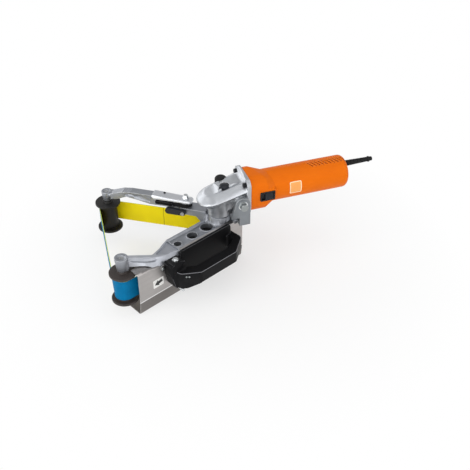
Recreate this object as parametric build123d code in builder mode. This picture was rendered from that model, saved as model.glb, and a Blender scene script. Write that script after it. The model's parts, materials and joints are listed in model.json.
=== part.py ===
from build123d import *
import os
from math import atan2, cos, hypot, pi, radians, sin, sqrt, tan

os.makedirs("parts", exist_ok=True)

# A hand held pipe sander: an angle gear head drives an abrasive belt round three wheels on a fork.
# X runs back along the motor, Y to the tension arm's side, Z up along the spindle.
# The origin is on the spindle's axis, in the underside of the guard's floor.

# Fits
run_fit = 0.02
seat_gap = 0.05
part_gap = 0.3

# Abrasive belt and its three wheels
belt_width = 40.0
belt_thickness = 1.2
arm_length = 217.0
near_angle = 24.5
far_angle = 33.7
roller_z = 27.0
roller_height = 59.0
roller_core_r = 16.0
roller_crown = 0.4
roller_flange_r = 23.3
roller_flange_t = 4.6
roller_chamfer = 0.8
roller_hub_r = 9.5
roller_hub_taper = 1.2
roller_hub_h = 3.5
roller_lip_r = 5.0
pulley_r = 20.0
pulley_tread_t = 2.5
pulley_margin = 1.0
pulley_hub_r = 10.0
pulley_web_t = 12.0
pulley_rim_t = 3.0
pulley_recess = 6.0
pulley_screw_r = 6.5
pulley_screw_washer_r = 9.0
pulley_screw_washer_t = 1.5
pulley_socket_r = 3.0
pulley_socket_h = 2.5
axle_r = 4.0
axle_shoulder_r = 6.0
axle_head_r = 7.0
axle_head_drop = 2.0
axle_socket_r = 2.9
axle_socket_h = 2.0
wheel_bearing_r = 11.0
wheel_bearing_w = 7.0
wheel_bearing_inset = 1.0

# Cast fork with the fixed near arm
arm_top_z = 87.0
arm_plate_t = 8.0
arm_pocket_h = 3.0
arm_pocket_r = 2.5
arm_rim_w = 3.6
arm_hub_r = 26.0
arm_far_edge = 15.0
arm_rear = 31.0
arm_taper_reach = 99.0
arm_hole_s = (34.0, 69.0, 103.0)
arm_hole_t = (4.0, 5.0, 6.0)
arm_hole_r = (11.5, 9.5, 7.0)
arm_ring_r = 20.7
arm_ring_h = 11.0
arm_hole_rim = 1.8
arm_collar_h = 5.0
neck_reach = 105.0
neck_waist_reach = 67.0
neck_tip_half = 7.5
neck_recess = 3.0
neck_rib = 4.5
neck_drop = 6.0
neck_bend_r = 8.0
near_boss_top_z = 115.0
near_boss_r = 11.4
near_boss_foot_r = 8.8
near_boss_dish_r = 8.0
boss_dish_h = 0.8
boss_rim_h = 4.0

# Far stub that carries the tension arm
pivot_reach = 62.0
pivot_pin_r = 5.0
pivot_head_r = 6.5
pivot_head_tip_r = 4.0
pivot_head_h = 7.6
pivot_head_rim = 2.4
stub_half_w = 12.0
stub_low_z = 91.5
stub_top_z = 104.0
stub_root = 30.0
stub_rise = 10.0

# Swinging tension arm
tension_w = 16.0
tension_eye_r = 11.0
tension_base_z = 100.0
tension_top_z = 114.0
tension_crown_z = 119.0
tension_arch_z = 108.0
tension_arch_back = 42.0
arch_fall = 2.0
arch_bend_r = 4.0
far_neck_back = 14.0
far_neck_low = 10.0
far_web_h = 7.0
far_bend_r = 1.6
tension_rib = 4.0
tension_deep_back = 88.0
cover_w = 21.0
cover_front = 124.0
cover_overhang = 13.0
cover_top_z = 121.5
cover_rear_z = 117.5
cover_chamfer = 2.0
cover_corner_r = 6.0
cover_step = 3.0
tension_recess = 2.4
far_boss_top_z = 109.0
far_boss_r = 9.6
far_boss_foot_r = 7.2
far_boss_dish_r = 6.6
spring_box_rear = 22.0
spring_box_len = 33.0
spring_box_z = 105.5
spring_box_h = 7.0
spring_box_t = 4.5
spring_box_r = 2.0
tension_spring_r = 8.0
tension_spring_h = 6.5

# Release lever on the stub
lever_pin_r = 2.6
lever_pin_head_r = 3.6
lever_pin_head_h = 1.6
lever_pin_len = 6.0
lever_t = 7.0
lever_eye_r = 5.2
lever_reach = 27.5
lever_tip_r = 6.0
lever_rise = 0.6
lever_z = 98.2
lever_ahead = 0.9
lever_gap = 0.8

# Belt guard bent from sheet
sheet_t = 1.5
guard_out = 30.0
guard_setback = 9.0
guard_rear = 30.0
guard_crease_z = 27.0
guard_lip_in = 3.0
guard_floor_in = 12.0
guard_flange_rear = 10.0
guard_tongue = 14.0
guard_tongue_in = 10.5
guard_bend_r = 4.0
guard_dip_z = 80.5
guard_dip_front = 57.0
guard_dip_end = 31.0
stud_back = 82.0
stud_z = 30.5
stud_r = 2.8
stud_out = 27.0
stud_head_r = 3.4
stud_head_t = 2.0
stud_nut = 8.0
stud_nut_t = 4.0
stud_tip = 1.0

# Bow handle
handle_plate_t = 5.0
handle_plate_top = 93.5
handle_plate_bottom = 34.0
handle_plate_front = 122.0
handle_plate_rear = 4.0
bow_out = 80.0
bow_depth = 20.0
bow_h = 23.5
bow_mid_z = 60.5
bow_edge_r = 2.0
bow_rear = -4.0
bow_front = 147.0
bow_grip_rear = 32.0
bow_grip_front = 113.0
bow_leg_t = 17.0
bow_drop = 9.0
bow_bend_r = 10.0
handle_plate_r = 6.0
handle_skin = 1.0
barrel_s = 138.0
barrel_t = 42.0
barrel_r = 9.0
barrel_top = 88.0
barrel_bottom = 38.0
foot_out = 22.0
foot_ahead = 15.0
foot_back = 14.0
foot_slope_z = 62.0
foot_edge_r = 4.0
handle_bolt_r = 3.0
handle_bolt_head = 10.0
handle_bolt_head_h = 4.0
handle_bolt_end = 2.0
handle_screw_r = 2.5
handle_screw_head_r = 4.2
handle_screw_head_h = 2.6
handle_screw_pitch = 80.0

# Gear head
motor_z = 139.4
collar_z = 101.0
collar_r = 20.7
collar_h = 6.0
bell_r = 27.0
bell_top_z = 136.0
head_wall = 4.0
crease_z = 142.9
crease_rise = 16.6
nose_r = 31.0
nose_back = 11.0
shell_h = 10.5
shell_round = 9.0
shell_flare = 2.0
shell_lean = 57.0
skirt_h = 22.0
skirt_lean = 35.0
casing_h = 30.0
casing_lean = 14.0
pad_half = 12.5
pad_front = 6.0
pad_rear = 34.0
pad_z = 157.3
pad_rise = 15.6
chamber_r = 22.0
chamber_z = 121.0
roof_z = 145.0
lock_seat_h = 6.5
head_flange_x = 42.0
head_flange_t = 7.0
flange_half = 35.0
flange_corner_r = 13.0
flange_bolt = 25.0
flange_bolt_r = 2.5
flange_bolt_head_r = 4.25
flange_bolt_head_h = 5.0
flange_bolt_len = 15.0
scallop_gap = 1.2
side_boss_x = 31.0
side_boss_z = 135.0
side_boss_r = 10.4
side_boss_y = 36.5
side_thread_r = 4.0
side_thread_len = 14.0
tunnel_r = 17.0
plug_x = 10.5
plug_y = 20.5
plug_r = 10.8
plug_foot_z = 151.5
plug_rim_z = 157.0
plug_top_z = 161.5
plug_boss_h = 7.5

# Bearing cap that the fork clamps on
cap_r = 17.4
cap_lip_r = 9.0
cap_lip_h = 6.0
spindle_bearing_r = 14.0
spindle_bearing_w = 8.0
spindle_bearing_z = 95.0
bush_r = 7.0
bush_h = 8.0
bush_above = 2.0

# Spindle, bevel gears and lock
spindle_r = 6.0
spindle_top_r = 4.0
spindle_shoulder_r = 8.0
gear_teeth = 33
pinion_teeth = 11
gear_pitch_r = 20.0
gear_face = 5.6
tooth_fill = 0.40
gear_back = 8.0
pinion_hub = 3.0
pressure_angle = 24.0
lock_r = 11.0
lock_angle = -41.0
lock_pin_r = 2.6
lock_hole_r = 3.2
lock_holes = 4
lock_travel = 4.5
lock_bite = 3.5
lock_cap_r = 8.3
lock_cap_h = 6.1
lock_cap_edge = 4.4
lock_hollow_r = 6.0
lock_hollow_h = 4.0
lock_ring_r = 3.6
lock_ring_t = 1.2

# Motor
barrel_out_r = 30.0
barrel_wall = 2.8
housing_half = 34.5
housing_corner_r = 22.0
housing_rim_r = 2.5
shoulder_x = 68.0
shoulder_run = 19.0
shoulder_skew = 20.0
housing_end_x = 243.0
housing_end_r = 9.0
shaft_r = 5.0
shaft_rear_r = 4.0
front_bearing_r = 13.0
front_bearing_w = 8.0
rear_bearing_r = 11.0
rear_bearing_w = 7.0
rear_bearing_x = 196.0
shield_t = 5.0
shield_r = 29.0
fan_x = 58.0
fan_t = 9.0
fan_gap = 2.2
fan_hub_r = 9.0
fan_plate_t = 1.6
fan_blades = 9
stator_x = 100.0
stator_len = 46.0
pole_h = 5.75
air_gap = 0.8
core_slots = 12
core_slot_w = 2.4
core_slot_h = 4.0
winding_len = 9.0
winding_inset = 1.7
field_end = 6.0
field_gap = 1.0
yoke_t = 4.4
pole_half = 15.0
commutator_x = 166.0
commutator_len = 15.0
commutator_r = 11.0
brush_w = 8.0
brush_h = 5.0
holder_gap = 0.9
brush_holder_wall = 1.6
brush_spring_len = 4.0
carrier_t = 5.0
carrier_wall = 3.0
carrier_spokes = 4
switch_x = 80.0
switch_len = 28.0
switch_high = 17.8
switch_wall = 2.2
switch_rim = 2.5
switch_boss_lean = 25.0
slide_len = 15.0
slide_travel = 5.0
slide_ribs = 4
slide_rib_h = 0.9
bezel_in = 3.0
bezel_out = 2.0
switch_body_len = 25.0
switch_body_high = 14.0
switch_body_d = 8.0
vent_count = 5
vent_w = 2.6
vent_len = 15.0
vent_pitch = 7.0
vent_x = (186.0, 222.0)
vent_slant = 35.0
vent_turn = 10.0
module_x = 208.0
module_len = 22.0
module_drop = 3.0
sleeve_drop = 16.0
sleeve_len = 52.0
sleeve_root_r = 5.6
sleeve_tip_r = 4.3
sleeve_bead_r = 5.4
sleeve_bead_len = 4.0
sleeve_nib_len = 5.0
sleeve_flange_r = 8.0
sleeve_flange_t = 3.0
sleeve_rings = 7
sleeve_ring_w = 1.2
sleeve_ring_h = 0.7
cord_r = 3.3

# Bracket that ties the fork to the gear head
bracket_t = 6.0
bracket_right_x = 45.0
bracket_bottom_z = 92.0
bracket_block_x = 25.0
bracket_wing_x = 10.0
bracket_wing_z = 109.0
bracket_foot_y = 1.0
foot_pad_s = -24.0
foot_pad_t = 20.0
foot_pad_r = 8.0
foot_t = 5.0
bolt_washer_r = 8.5
bolt_washer_t = 1.6
bolt_af = 13.0
bolt_head_h = 8.0
foot_screw_r = 3.0
foot_screw_head_r = 5.0
foot_screw_head_h = 3.5

# Derived places
na = radians(near_angle)
fa = radians(far_angle)
near_dir = Vector(-cos(na), -sin(na), 0)
near_out = Vector(sin(na), -cos(na), 0)
far_dir = Vector(-cos(fa), sin(fa), 0)
far_in = Vector(-sin(fa), -cos(fa), 0)
near_axis = near_dir * arm_length
far_axis = far_dir * arm_length
roller_top_z = roller_z + roller_height
belt_z = roller_z + (roller_height - belt_width) / 2
arm_base_z = arm_top_z - arm_plate_t
boss_foot_z = roller_top_z + roller_hub_h + 2 * part_gap
arm_near_edge = guard_out - guard_bend_r
guard_front = arm_length - guard_setback
stud_s = arm_length - stud_back
lever_s = pivot_reach + lever_ahead
cover_rear = pivot_reach - cover_overhang
guard_flange_in = arm_ring_r + part_gap
guard_top_z = arm_top_z + sheet_t
flange_x = head_flange_x + head_flange_t


def near_plan(z):
    return Plane(origin=(0, 0, z), x_dir=near_dir, z_dir=(0, 0, 1))


def near_side(t):
    return Plane(origin=near_out * t, x_dir=near_dir, z_dir=near_out * -1)


def near_section(s):
    return Plane(origin=near_dir * s, x_dir=near_out, z_dir=near_dir)


def far_plan(z):
    return Plane(origin=(0, 0, z), x_dir=far_dir, z_dir=(0, 0, 1))


def far_side(u):
    return Plane(origin=far_in * u, x_dir=far_dir, z_dir=far_in * -1)


def upright(point):
    # A radius runs along local x and the height along local y
    return Plane(origin=(point.X, point.Y, 0), x_dir=(1, 0, 0), z_dir=(0, -1, 0))


def standing_axis(point):
    return Axis((point.X, point.Y, 0), (0, 0, 1))


def cross_x(x):
    # Looking along the motor: local x is Y and local y is Z
    return Plane(origin=(x, 0, 0), x_dir=(0, 1, 0), z_dir=(1, 0, 0))


motor_axis = Axis((0, 0, motor_z), (1, 0, 0))
motor_plane = Plane(origin=(0, 0, motor_z), x_dir=(1, 0, 0), z_dir=(0, -1, 0))


def loop_lines(extra):
    # Straight runs and wraps of a belt line that stands off the wheels by extra
    wheels = [(Vector(0, 0), pulley_r), (far_axis, roller_core_r), (near_axis, roller_core_r)]
    tangents = []
    for i in range(3):
        c1, r1 = wheels[i]
        c2, r2 = wheels[(i + 1) % 3]
        run = Vector(c2.X - c1.X, c2.Y - c1.Y)
        lean = (r1 - r2) / run.length
        d = run.normalized()
        side = Vector(d.Y, -d.X)
        m = side * sqrt(1 - lean * lean) + d * lean
        tangents.append((c1 + m * (r1 + extra), c2 + m * (r2 + extra), m))
    arcs = []
    for i in range(3):
        c, r = wheels[i]
        m = (tangents[i - 1][2] + tangents[i][2]).normalized()
        arcs.append((tangents[i - 1][1], c + m * (r + extra), tangents[i][0]))
    return tangents, arcs


def flat(v):
    return (v.X, v.Y)


# Abrasive belt, a band round the drive pulley and the two rollers
belt_runs, belt_wraps = loop_lines(part_gap + belt_thickness / 2)
belt_length = sum((b - a).length for a, b, m in belt_runs)
for (a, mid, b), r in zip(belt_wraps, (pulley_r, roller_core_r, roller_core_r)):
    rise = (mid - (a + b) / 2).length
    belt_length += 4 * (r + part_gap + belt_thickness / 2) * atan2(rise, (b - a).length / 2)
print("belt length", round(belt_length, 1))

with BuildPart() as belt:
    with BuildSketch(Plane.XY.offset(belt_z)):
        with BuildLine():
            runs, wraps = loop_lines(part_gap + belt_thickness)
            for i in range(3):
                Line(flat(runs[i][0]), flat(runs[i][1]))
                ThreePointArc(flat(wraps[i][0]), flat(wraps[i][1]), flat(wraps[i][2]))
        make_face()
        with BuildLine():
            runs, wraps = loop_lines(part_gap)
            for i in range(3):
                Line(flat(runs[i][0]), flat(runs[i][1]))
                ThreePointArc(flat(wraps[i][0]), flat(wraps[i][1]), flat(wraps[i][2]))
        make_face(mode=Mode.SUBTRACT)
    extrude(amount=belt_width)
belt.part.label = "belt"
export_step(belt.part, "parts/belt.step")


# Flanged rollers with a crowned tread and a tapered hub cap
def roller_profile():
    z0 = roller_z
    z1 = roller_top_z
    c = roller_chamfer
    f = roller_flange_r
    bore = wheel_bearing_r + run_fit
    foot = (roller_core_r - roller_crown, z0 + roller_flange_t)
    head = (roller_core_r - roller_crown, z1 - roller_flange_t)
    Polyline((bore, z0), (f - c, z0), (f, z0 + c), (f, foot[1] - c), (f - c, foot[1]), foot)
    ThreePointArc(foot, (roller_core_r, (z0 + z1) / 2), head)
    Polyline(head, (f - c, head[1]), (f, head[1] + c), (f, z1 - c), (f - c, z1), (roller_hub_r, z1),
             (roller_hub_r - roller_hub_taper, z1 + roller_hub_h), (roller_lip_r, z1 + roller_hub_h),
             (roller_lip_r, z1 - wheel_bearing_inset), (bore, z1 - wheel_bearing_inset), (bore, z0))


def bearing_profile(inner, outer, low, width):
    c = 0.5
    Polyline((inner, low), (outer - c, low), (outer, low + c), (outer, low + width - c),
             (outer - c, low + width), (inner, low + width), (inner, low))


def axle_profile(top):
    z0 = roller_z
    z1 = roller_top_z
    head = z0 + wheel_bearing_inset - part_gap
    low = z0 + wheel_bearing_inset + wheel_bearing_w + part_gap
    high = z1 - wheel_bearing_inset - wheel_bearing_w - part_gap
    foot = z0 - axle_head_drop
    Polyline((0, foot + axle_socket_h), (axle_socket_r, foot + axle_socket_h), (axle_socket_r, foot),
             (axle_head_r, foot), (axle_head_r, head), (axle_r, head), (axle_r, low), (axle_shoulder_r, low),
             (axle_shoulder_r, high), (axle_r, high), (axle_r, top), (0, top), (0, foot + axle_socket_h))


with BuildPart() as near_roller:
    with BuildSketch(upright(near_axis)):
        with BuildLine():
            roller_profile()
        make_face()
    revolve(axis=standing_axis(near_axis))
near_roller.part.label = "near_roller"
export_step(near_roller.part, "parts/near_roller.step")

with BuildPart() as far_roller:
    with BuildSketch(upright(far_axis)):
        with BuildLine():
            roller_profile()
        make_face()
    revolve(axis=standing_axis(far_axis))
far_roller.part.label = "far_roller"
export_step(far_roller.part, "parts/far_roller.step")

low_bearing_z = roller_z + wheel_bearing_inset
high_bearing_z = roller_top_z - wheel_bearing_inset - wheel_bearing_w

with BuildPart() as near_roller_bearings:
    with BuildSketch(upright(near_axis)):
        with BuildLine():
            bearing_profile(axle_r + run_fit, wheel_bearing_r, low_bearing_z, wheel_bearing_w)
        make_face()
        with BuildLine():
            bearing_profile(axle_r + run_fit, wheel_bearing_r, high_bearing_z, wheel_bearing_w)
        make_face()
    revolve(axis=standing_axis(near_axis))
near_roller_bearings.part.label = "near_roller_bearings"
export_step(near_roller_bearings.part, "parts/near_roller_bearings.step")

with BuildPart() as far_roller_bearings:
    with BuildSketch(upright(far_axis)):
        with BuildLine():
            bearing_profile(axle_r + run_fit, wheel_bearing_r, low_bearing_z, wheel_bearing_w)
        make_face()
        with BuildLine():
            bearing_profile(axle_r + run_fit, wheel_bearing_r, high_bearing_z, wheel_bearing_w)
        make_face()
    revolve(axis=standing_axis(far_axis))
far_roller_bearings.part.label = "far_roller_bearings"
export_step(far_roller_bearings.part, "parts/far_roller_bearings.step")

with BuildPart() as near_axle:
    with BuildSketch(upright(near_axis)):
        with BuildLine():
            axle_profile(near_boss_top_z - boss_dish_h)
        make_face()
    revolve(axis=standing_axis(near_axis))
near_axle.part.label = "near_axle"
export_step(near_axle.part, "parts/near_axle.step")

with BuildPart() as far_axle:
    with BuildSketch(upright(far_axis)):
        with BuildLine():
            axle_profile(far_boss_top_z - boss_dish_h)
        make_face()
    revolve(axis=standing_axis(far_axis))
far_axle.part.label = "far_axle"
export_step(far_axle.part, "parts/far_axle.step")

# Drive pulley: turned hub with a rubber tread
spindle_axis = Vector(0, 0, 0)
pulley_low = belt_z - pulley_margin
pulley_high = belt_z + belt_width + pulley_margin
pulley_mid = (pulley_low + pulley_high) / 2
pulley_seat = pulley_low + pulley_recess
hub_wall_r = pulley_r - pulley_tread_t

with BuildPart() as drive_pulley:
    with BuildSketch(upright(spindle_axis)):
        with BuildLine():
            rim_in = hub_wall_r - pulley_rim_t
            web_low = pulley_mid - pulley_web_t / 2
            web_high = pulley_mid + pulley_web_t / 2
            Polyline((spindle_r, pulley_seat), (pulley_hub_r, pulley_seat), (pulley_hub_r, web_low),
                     (rim_in, web_low), (rim_in, pulley_low), (hub_wall_r, pulley_low), (hub_wall_r, pulley_high),
                     (rim_in, pulley_high), (rim_in, web_high), (pulley_hub_r, web_high),
                     (pulley_hub_r, pulley_high), (spindle_r, pulley_high), (spindle_r, pulley_seat))
        make_face()
    revolve(axis=Axis.Z)
drive_pulley.part.label = "drive_pulley"
export_step(drive_pulley.part, "parts/drive_pulley.step")

with BuildPart() as pulley_tread:
    with BuildSketch(upright(spindle_axis)):
        with BuildLine():
            edge_r = pulley_r - roller_crown
            Polyline((edge_r, pulley_high), (hub_wall_r, pulley_high), (hub_wall_r, pulley_low), (edge_r, pulley_low))
            ThreePointArc((edge_r, pulley_low), (pulley_r, pulley_mid), (edge_r, pulley_high))
        make_face()
    revolve(axis=Axis.Z)
pulley_tread.part.label = "pulley_tread"
export_step(pulley_tread.part, "parts/pulley_tread.step")

with BuildPart() as pulley_screw:
    with BuildSketch(upright(spindle_axis)):
        with BuildLine():
            socket_z = pulley_low + pulley_socket_h
            washer_z = pulley_seat - pulley_screw_washer_t
            Polyline((0, socket_z), (pulley_socket_r, socket_z), (pulley_socket_r, pulley_low),
                     (pulley_screw_r, pulley_low), (pulley_screw_r, washer_z), (pulley_screw_washer_r, washer_z),
                     (pulley_screw_washer_r, pulley_seat), (0, pulley_seat), (0, socket_z))
        make_face()
    revolve(axis=Axis.Z)
pulley_screw.part.label = "pulley_screw"
export_step(pulley_screw.part, "parts/pulley_screw.step")

# Spindle, held by a ball bearing in the cap and a bush in the gear head's roof
gear_pitch_z = motor_z - gear_pitch_r * pinion_teeth / gear_teeth
gear_low_z = gear_pitch_z - gear_back
bearing_high_z = spindle_bearing_z + spindle_bearing_w
bush_z = motor_z + bush_above

with BuildPart() as spindle:
    with BuildSketch(upright(spindle_axis)):
        with BuildLine():
            Polyline((0, pulley_seat), (spindle_r, pulley_seat), (spindle_r, pulley_high),
                     (spindle_shoulder_r, pulley_high), (spindle_shoulder_r, spindle_bearing_z),
                     (spindle_r, spindle_bearing_z), (spindle_r, bearing_high_z),
                     (spindle_shoulder_r, bearing_high_z), (spindle_shoulder_r, gear_low_z),
                     (spindle_r, gear_low_z), (spindle_r, motor_z),
                     (spindle_top_r, motor_z), (spindle_top_r, bush_z + bush_h), (0, bush_z + bush_h),
                     (0, pulley_seat))
        make_face()
    revolve(axis=Axis.Z)
spindle.part.label = "spindle"
export_step(spindle.part, "parts/spindle.step")

with BuildPart() as spindle_bearing:
    with BuildSketch(upright(spindle_axis)):
        with BuildLine():
            bearing_profile(spindle_r, spindle_bearing_r - run_fit, spindle_bearing_z, spindle_bearing_w)
        make_face()
    revolve(axis=Axis.Z)
spindle_bearing.part.label = "spindle_bearing"
export_step(spindle_bearing.part, "parts/spindle_bearing.step")

with BuildPart() as spindle_bush:
    with BuildSketch(upright(spindle_axis)):
        with BuildLine():
            bearing_profile(spindle_top_r + run_fit, bush_r, bush_z, bush_h)
        make_face()
    revolve(axis=Axis.Z)
spindle_bush.part.label = "spindle_bush"
export_step(spindle_bush.part, "parts/spindle_bush.step")

# Straight bevel gears, whose teeth all taper towards the point where the two axes cross
apex = Vector(0, 0, motor_z)
pinion_pitch_r = gear_pitch_r * pinion_teeth / gear_teeth
cone_len = hypot(gear_pitch_r, pinion_pitch_r)
inner_scale = (cone_len - gear_face) / cone_len
tooth_module = 2 * gear_pitch_r / gear_teeth
tooth_half = tooth_fill * pi * tooth_module / 2
addendum = 0.80 * tooth_module
dedendum = 1.15 * tooth_module
tooth_sink = 0.45 * tooth_module
flank = tan(radians(pressure_angle))


def tooth_plane(along, up, scale):
    return Plane(origin=apex + along * (cone_len * scale), x_dir=Vector(0, 1, 0), z_dir=Vector(0, 1, 0).cross(up))


def tooth_sketch(scale):
    top = tooth_half - addendum * flank
    foot = tooth_half + dedendum * flank
    low = -dedendum - tooth_sink
    k = scale
    Polygon((-foot * k, low * k), (foot * k, low * k), (top * k, addendum * k), (-top * k, addendum * k), align=None)


gear_along = Vector(gear_pitch_r, 0, -pinion_pitch_r).normalized()
gear_up = Vector(pinion_pitch_r, 0, gear_pitch_r).normalized()
pinion_up = gear_up * -1
gear_root_out = apex + gear_along * cone_len - gear_up * dedendum
gear_root_in = apex + (gear_along * cone_len - gear_up * dedendum) * inner_scale
pinion_root_out = apex + gear_along * cone_len - pinion_up * dedendum
pinion_root_in = apex + (gear_along * cone_len - pinion_up * dedendum) * inner_scale

with BuildPart() as gear_tooth:
    with BuildSketch(tooth_plane(gear_along, gear_up, 1.0)):
        tooth_sketch(1.0)
    with BuildSketch(tooth_plane(gear_along, gear_up, inner_scale)):
        tooth_sketch(inner_scale)
    loft(ruled=True)

with BuildPart() as pinion_tooth:
    with BuildSketch(tooth_plane(gear_along, pinion_up, 1.0)):
        tooth_sketch(1.0)
    with BuildSketch(tooth_plane(gear_along, pinion_up, inner_scale)):
        tooth_sketch(inner_scale)
    loft(ruled=True)

half_gear_step = 180.0 / gear_teeth
with BuildPart() as bevel_gear:
    with BuildSketch(upright(spindle_axis)):
        with BuildLine():
            Polyline((spindle_r, gear_low_z), (gear_root_out.X, gear_low_z), (gear_root_out.X, gear_root_out.Z),
                     (gear_root_in.X, gear_root_in.Z), (spindle_r, gear_root_in.Z), (spindle_r, gear_low_z))
        make_face()
    revolve(axis=Axis.Z)
    with PolarLocations(0, gear_teeth, start_angle=half_gear_step):
        add(gear_tooth.part)
    with BuildSketch(Plane.XY.offset(gear_low_z)):
        with PolarLocations(lock_r, lock_holes, start_angle=lock_angle):
            Circle(lock_hole_r)
    extrude(amount=gear_back + dedendum, mode=Mode.SUBTRACT)
bevel_gear.part.label = "bevel_gear"
export_step(bevel_gear.part, "parts/bevel_gear.step")

pinion_in_x = pinion_root_in.X
pinion_out_x = pinion_root_out.X
pinion_teeth_bodies = [pinion_tooth.part.rotate(motor_axis, 360.0 * i / pinion_teeth) for i in range(pinion_teeth)]
with BuildPart() as pinion:
    with BuildSketch(motor_plane):
        with BuildLine():
            hub_end = pinion_out_x + pinion_hub
            root_r = motor_z - pinion_root_out.Z
            Polyline((pinion_in_x, 0), (pinion_in_x, motor_z - pinion_root_in.Z), (pinion_out_x, root_r),
                     (hub_end, root_r), (hub_end, 0), (pinion_in_x, 0))
        make_face()
    revolve(axis=motor_axis)
    add(pinion_teeth_bodies)
pinion.part.label = "pinion"
export_step(pinion.part, "parts/pinion.step")

# Cast fork: hub plate, near arm with its rising neck and boss, and the stub for the tension arm
neck_start = arm_length - neck_reach
arm_taper_start = arm_length - arm_taper_reach
neck_waist = arm_length - neck_waist_reach
neck_out = guard_out - sheet_t - part_gap
neck_root_at = near_dir * neck_start + near_out * neck_out
neck_tip_at = near_axis + near_out * near_boss_foot_r
neck_waist_at = near_dir * neck_waist
neck_inner_tip_at = near_axis - near_out * neck_tip_half
neck_low_z = guard_top_z + part_gap
clamp_r = cap_r + seat_gap


def neck_ramp(s):
    # Top of the neck over a place along the arm
    return arm_top_z + (near_boss_top_z - neck_drop - arm_top_z) * (s - neck_start) / neck_reach


def neck_face(start, end, turn):
    # Upright plane on one side of the neck, whose normal points into the metal
    along = (end - start).normalized() * turn
    return Plane(origin=start, x_dir=along, z_dir=along.cross(Vector(0, 0, 1)))


with BuildPart() as neck:
    with BuildSketch(near_side(0)):
        with BuildLine():
            clear_s = arm_length - roller_flange_r - part_gap
            FilletPolyline((neck_start, arm_base_z), (neck_waist, arm_base_z), (clear_s, neck_low_z),
                           (arm_length - near_boss_foot_r, boss_foot_z), (arm_length, boss_foot_z),
                           (arm_length, neck_ramp(arm_length)),
                           (neck_start, arm_top_z), close=True,
                           radius=(seat_gap, neck_bend_r, neck_bend_r, seat_gap, seat_gap, seat_gap, seat_gap))
        make_face()
    extrude(amount=guard_out, both=True)
    with BuildSketch(near_plan(arm_base_z)):
        Polygon((neck_start, neck_out), (neck_start, -arm_far_edge), (neck_waist, 0), (arm_length, -neck_tip_half),
                (arm_length, near_boss_foot_r), align=None)
    extrude(amount=near_boss_top_z - arm_base_z, mode=Mode.INTERSECT)
    # Hollowed sides leave an I section
    pocket_rear = neck_waist + neck_rib
    pocket_front = arm_length - near_boss_r - neck_rib
    for start, end, turn in ((neck_root_at, neck_tip_at, 1), (neck_waist_at, neck_inner_tip_at, -1)):
        shift = (start - near_dir * neck_start).dot(near_dir)
        with BuildSketch(neck_face(start, end, turn)):
            with BuildLine():
                rear_x = turn * (pocket_rear - neck_start - shift)
                front_x = turn * (pocket_front - neck_start - shift)
                FilletPolyline((rear_x, arm_base_z + neck_rib), (front_x, boss_foot_z + neck_rib),
                               (front_x, neck_ramp(pocket_front) - neck_rib),
                               (rear_x, neck_ramp(pocket_rear) - neck_rib), radius=neck_recess * 0.9, close=True)
            make_face()
        extrude(amount=neck_recess, mode=Mode.SUBTRACT)

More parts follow.
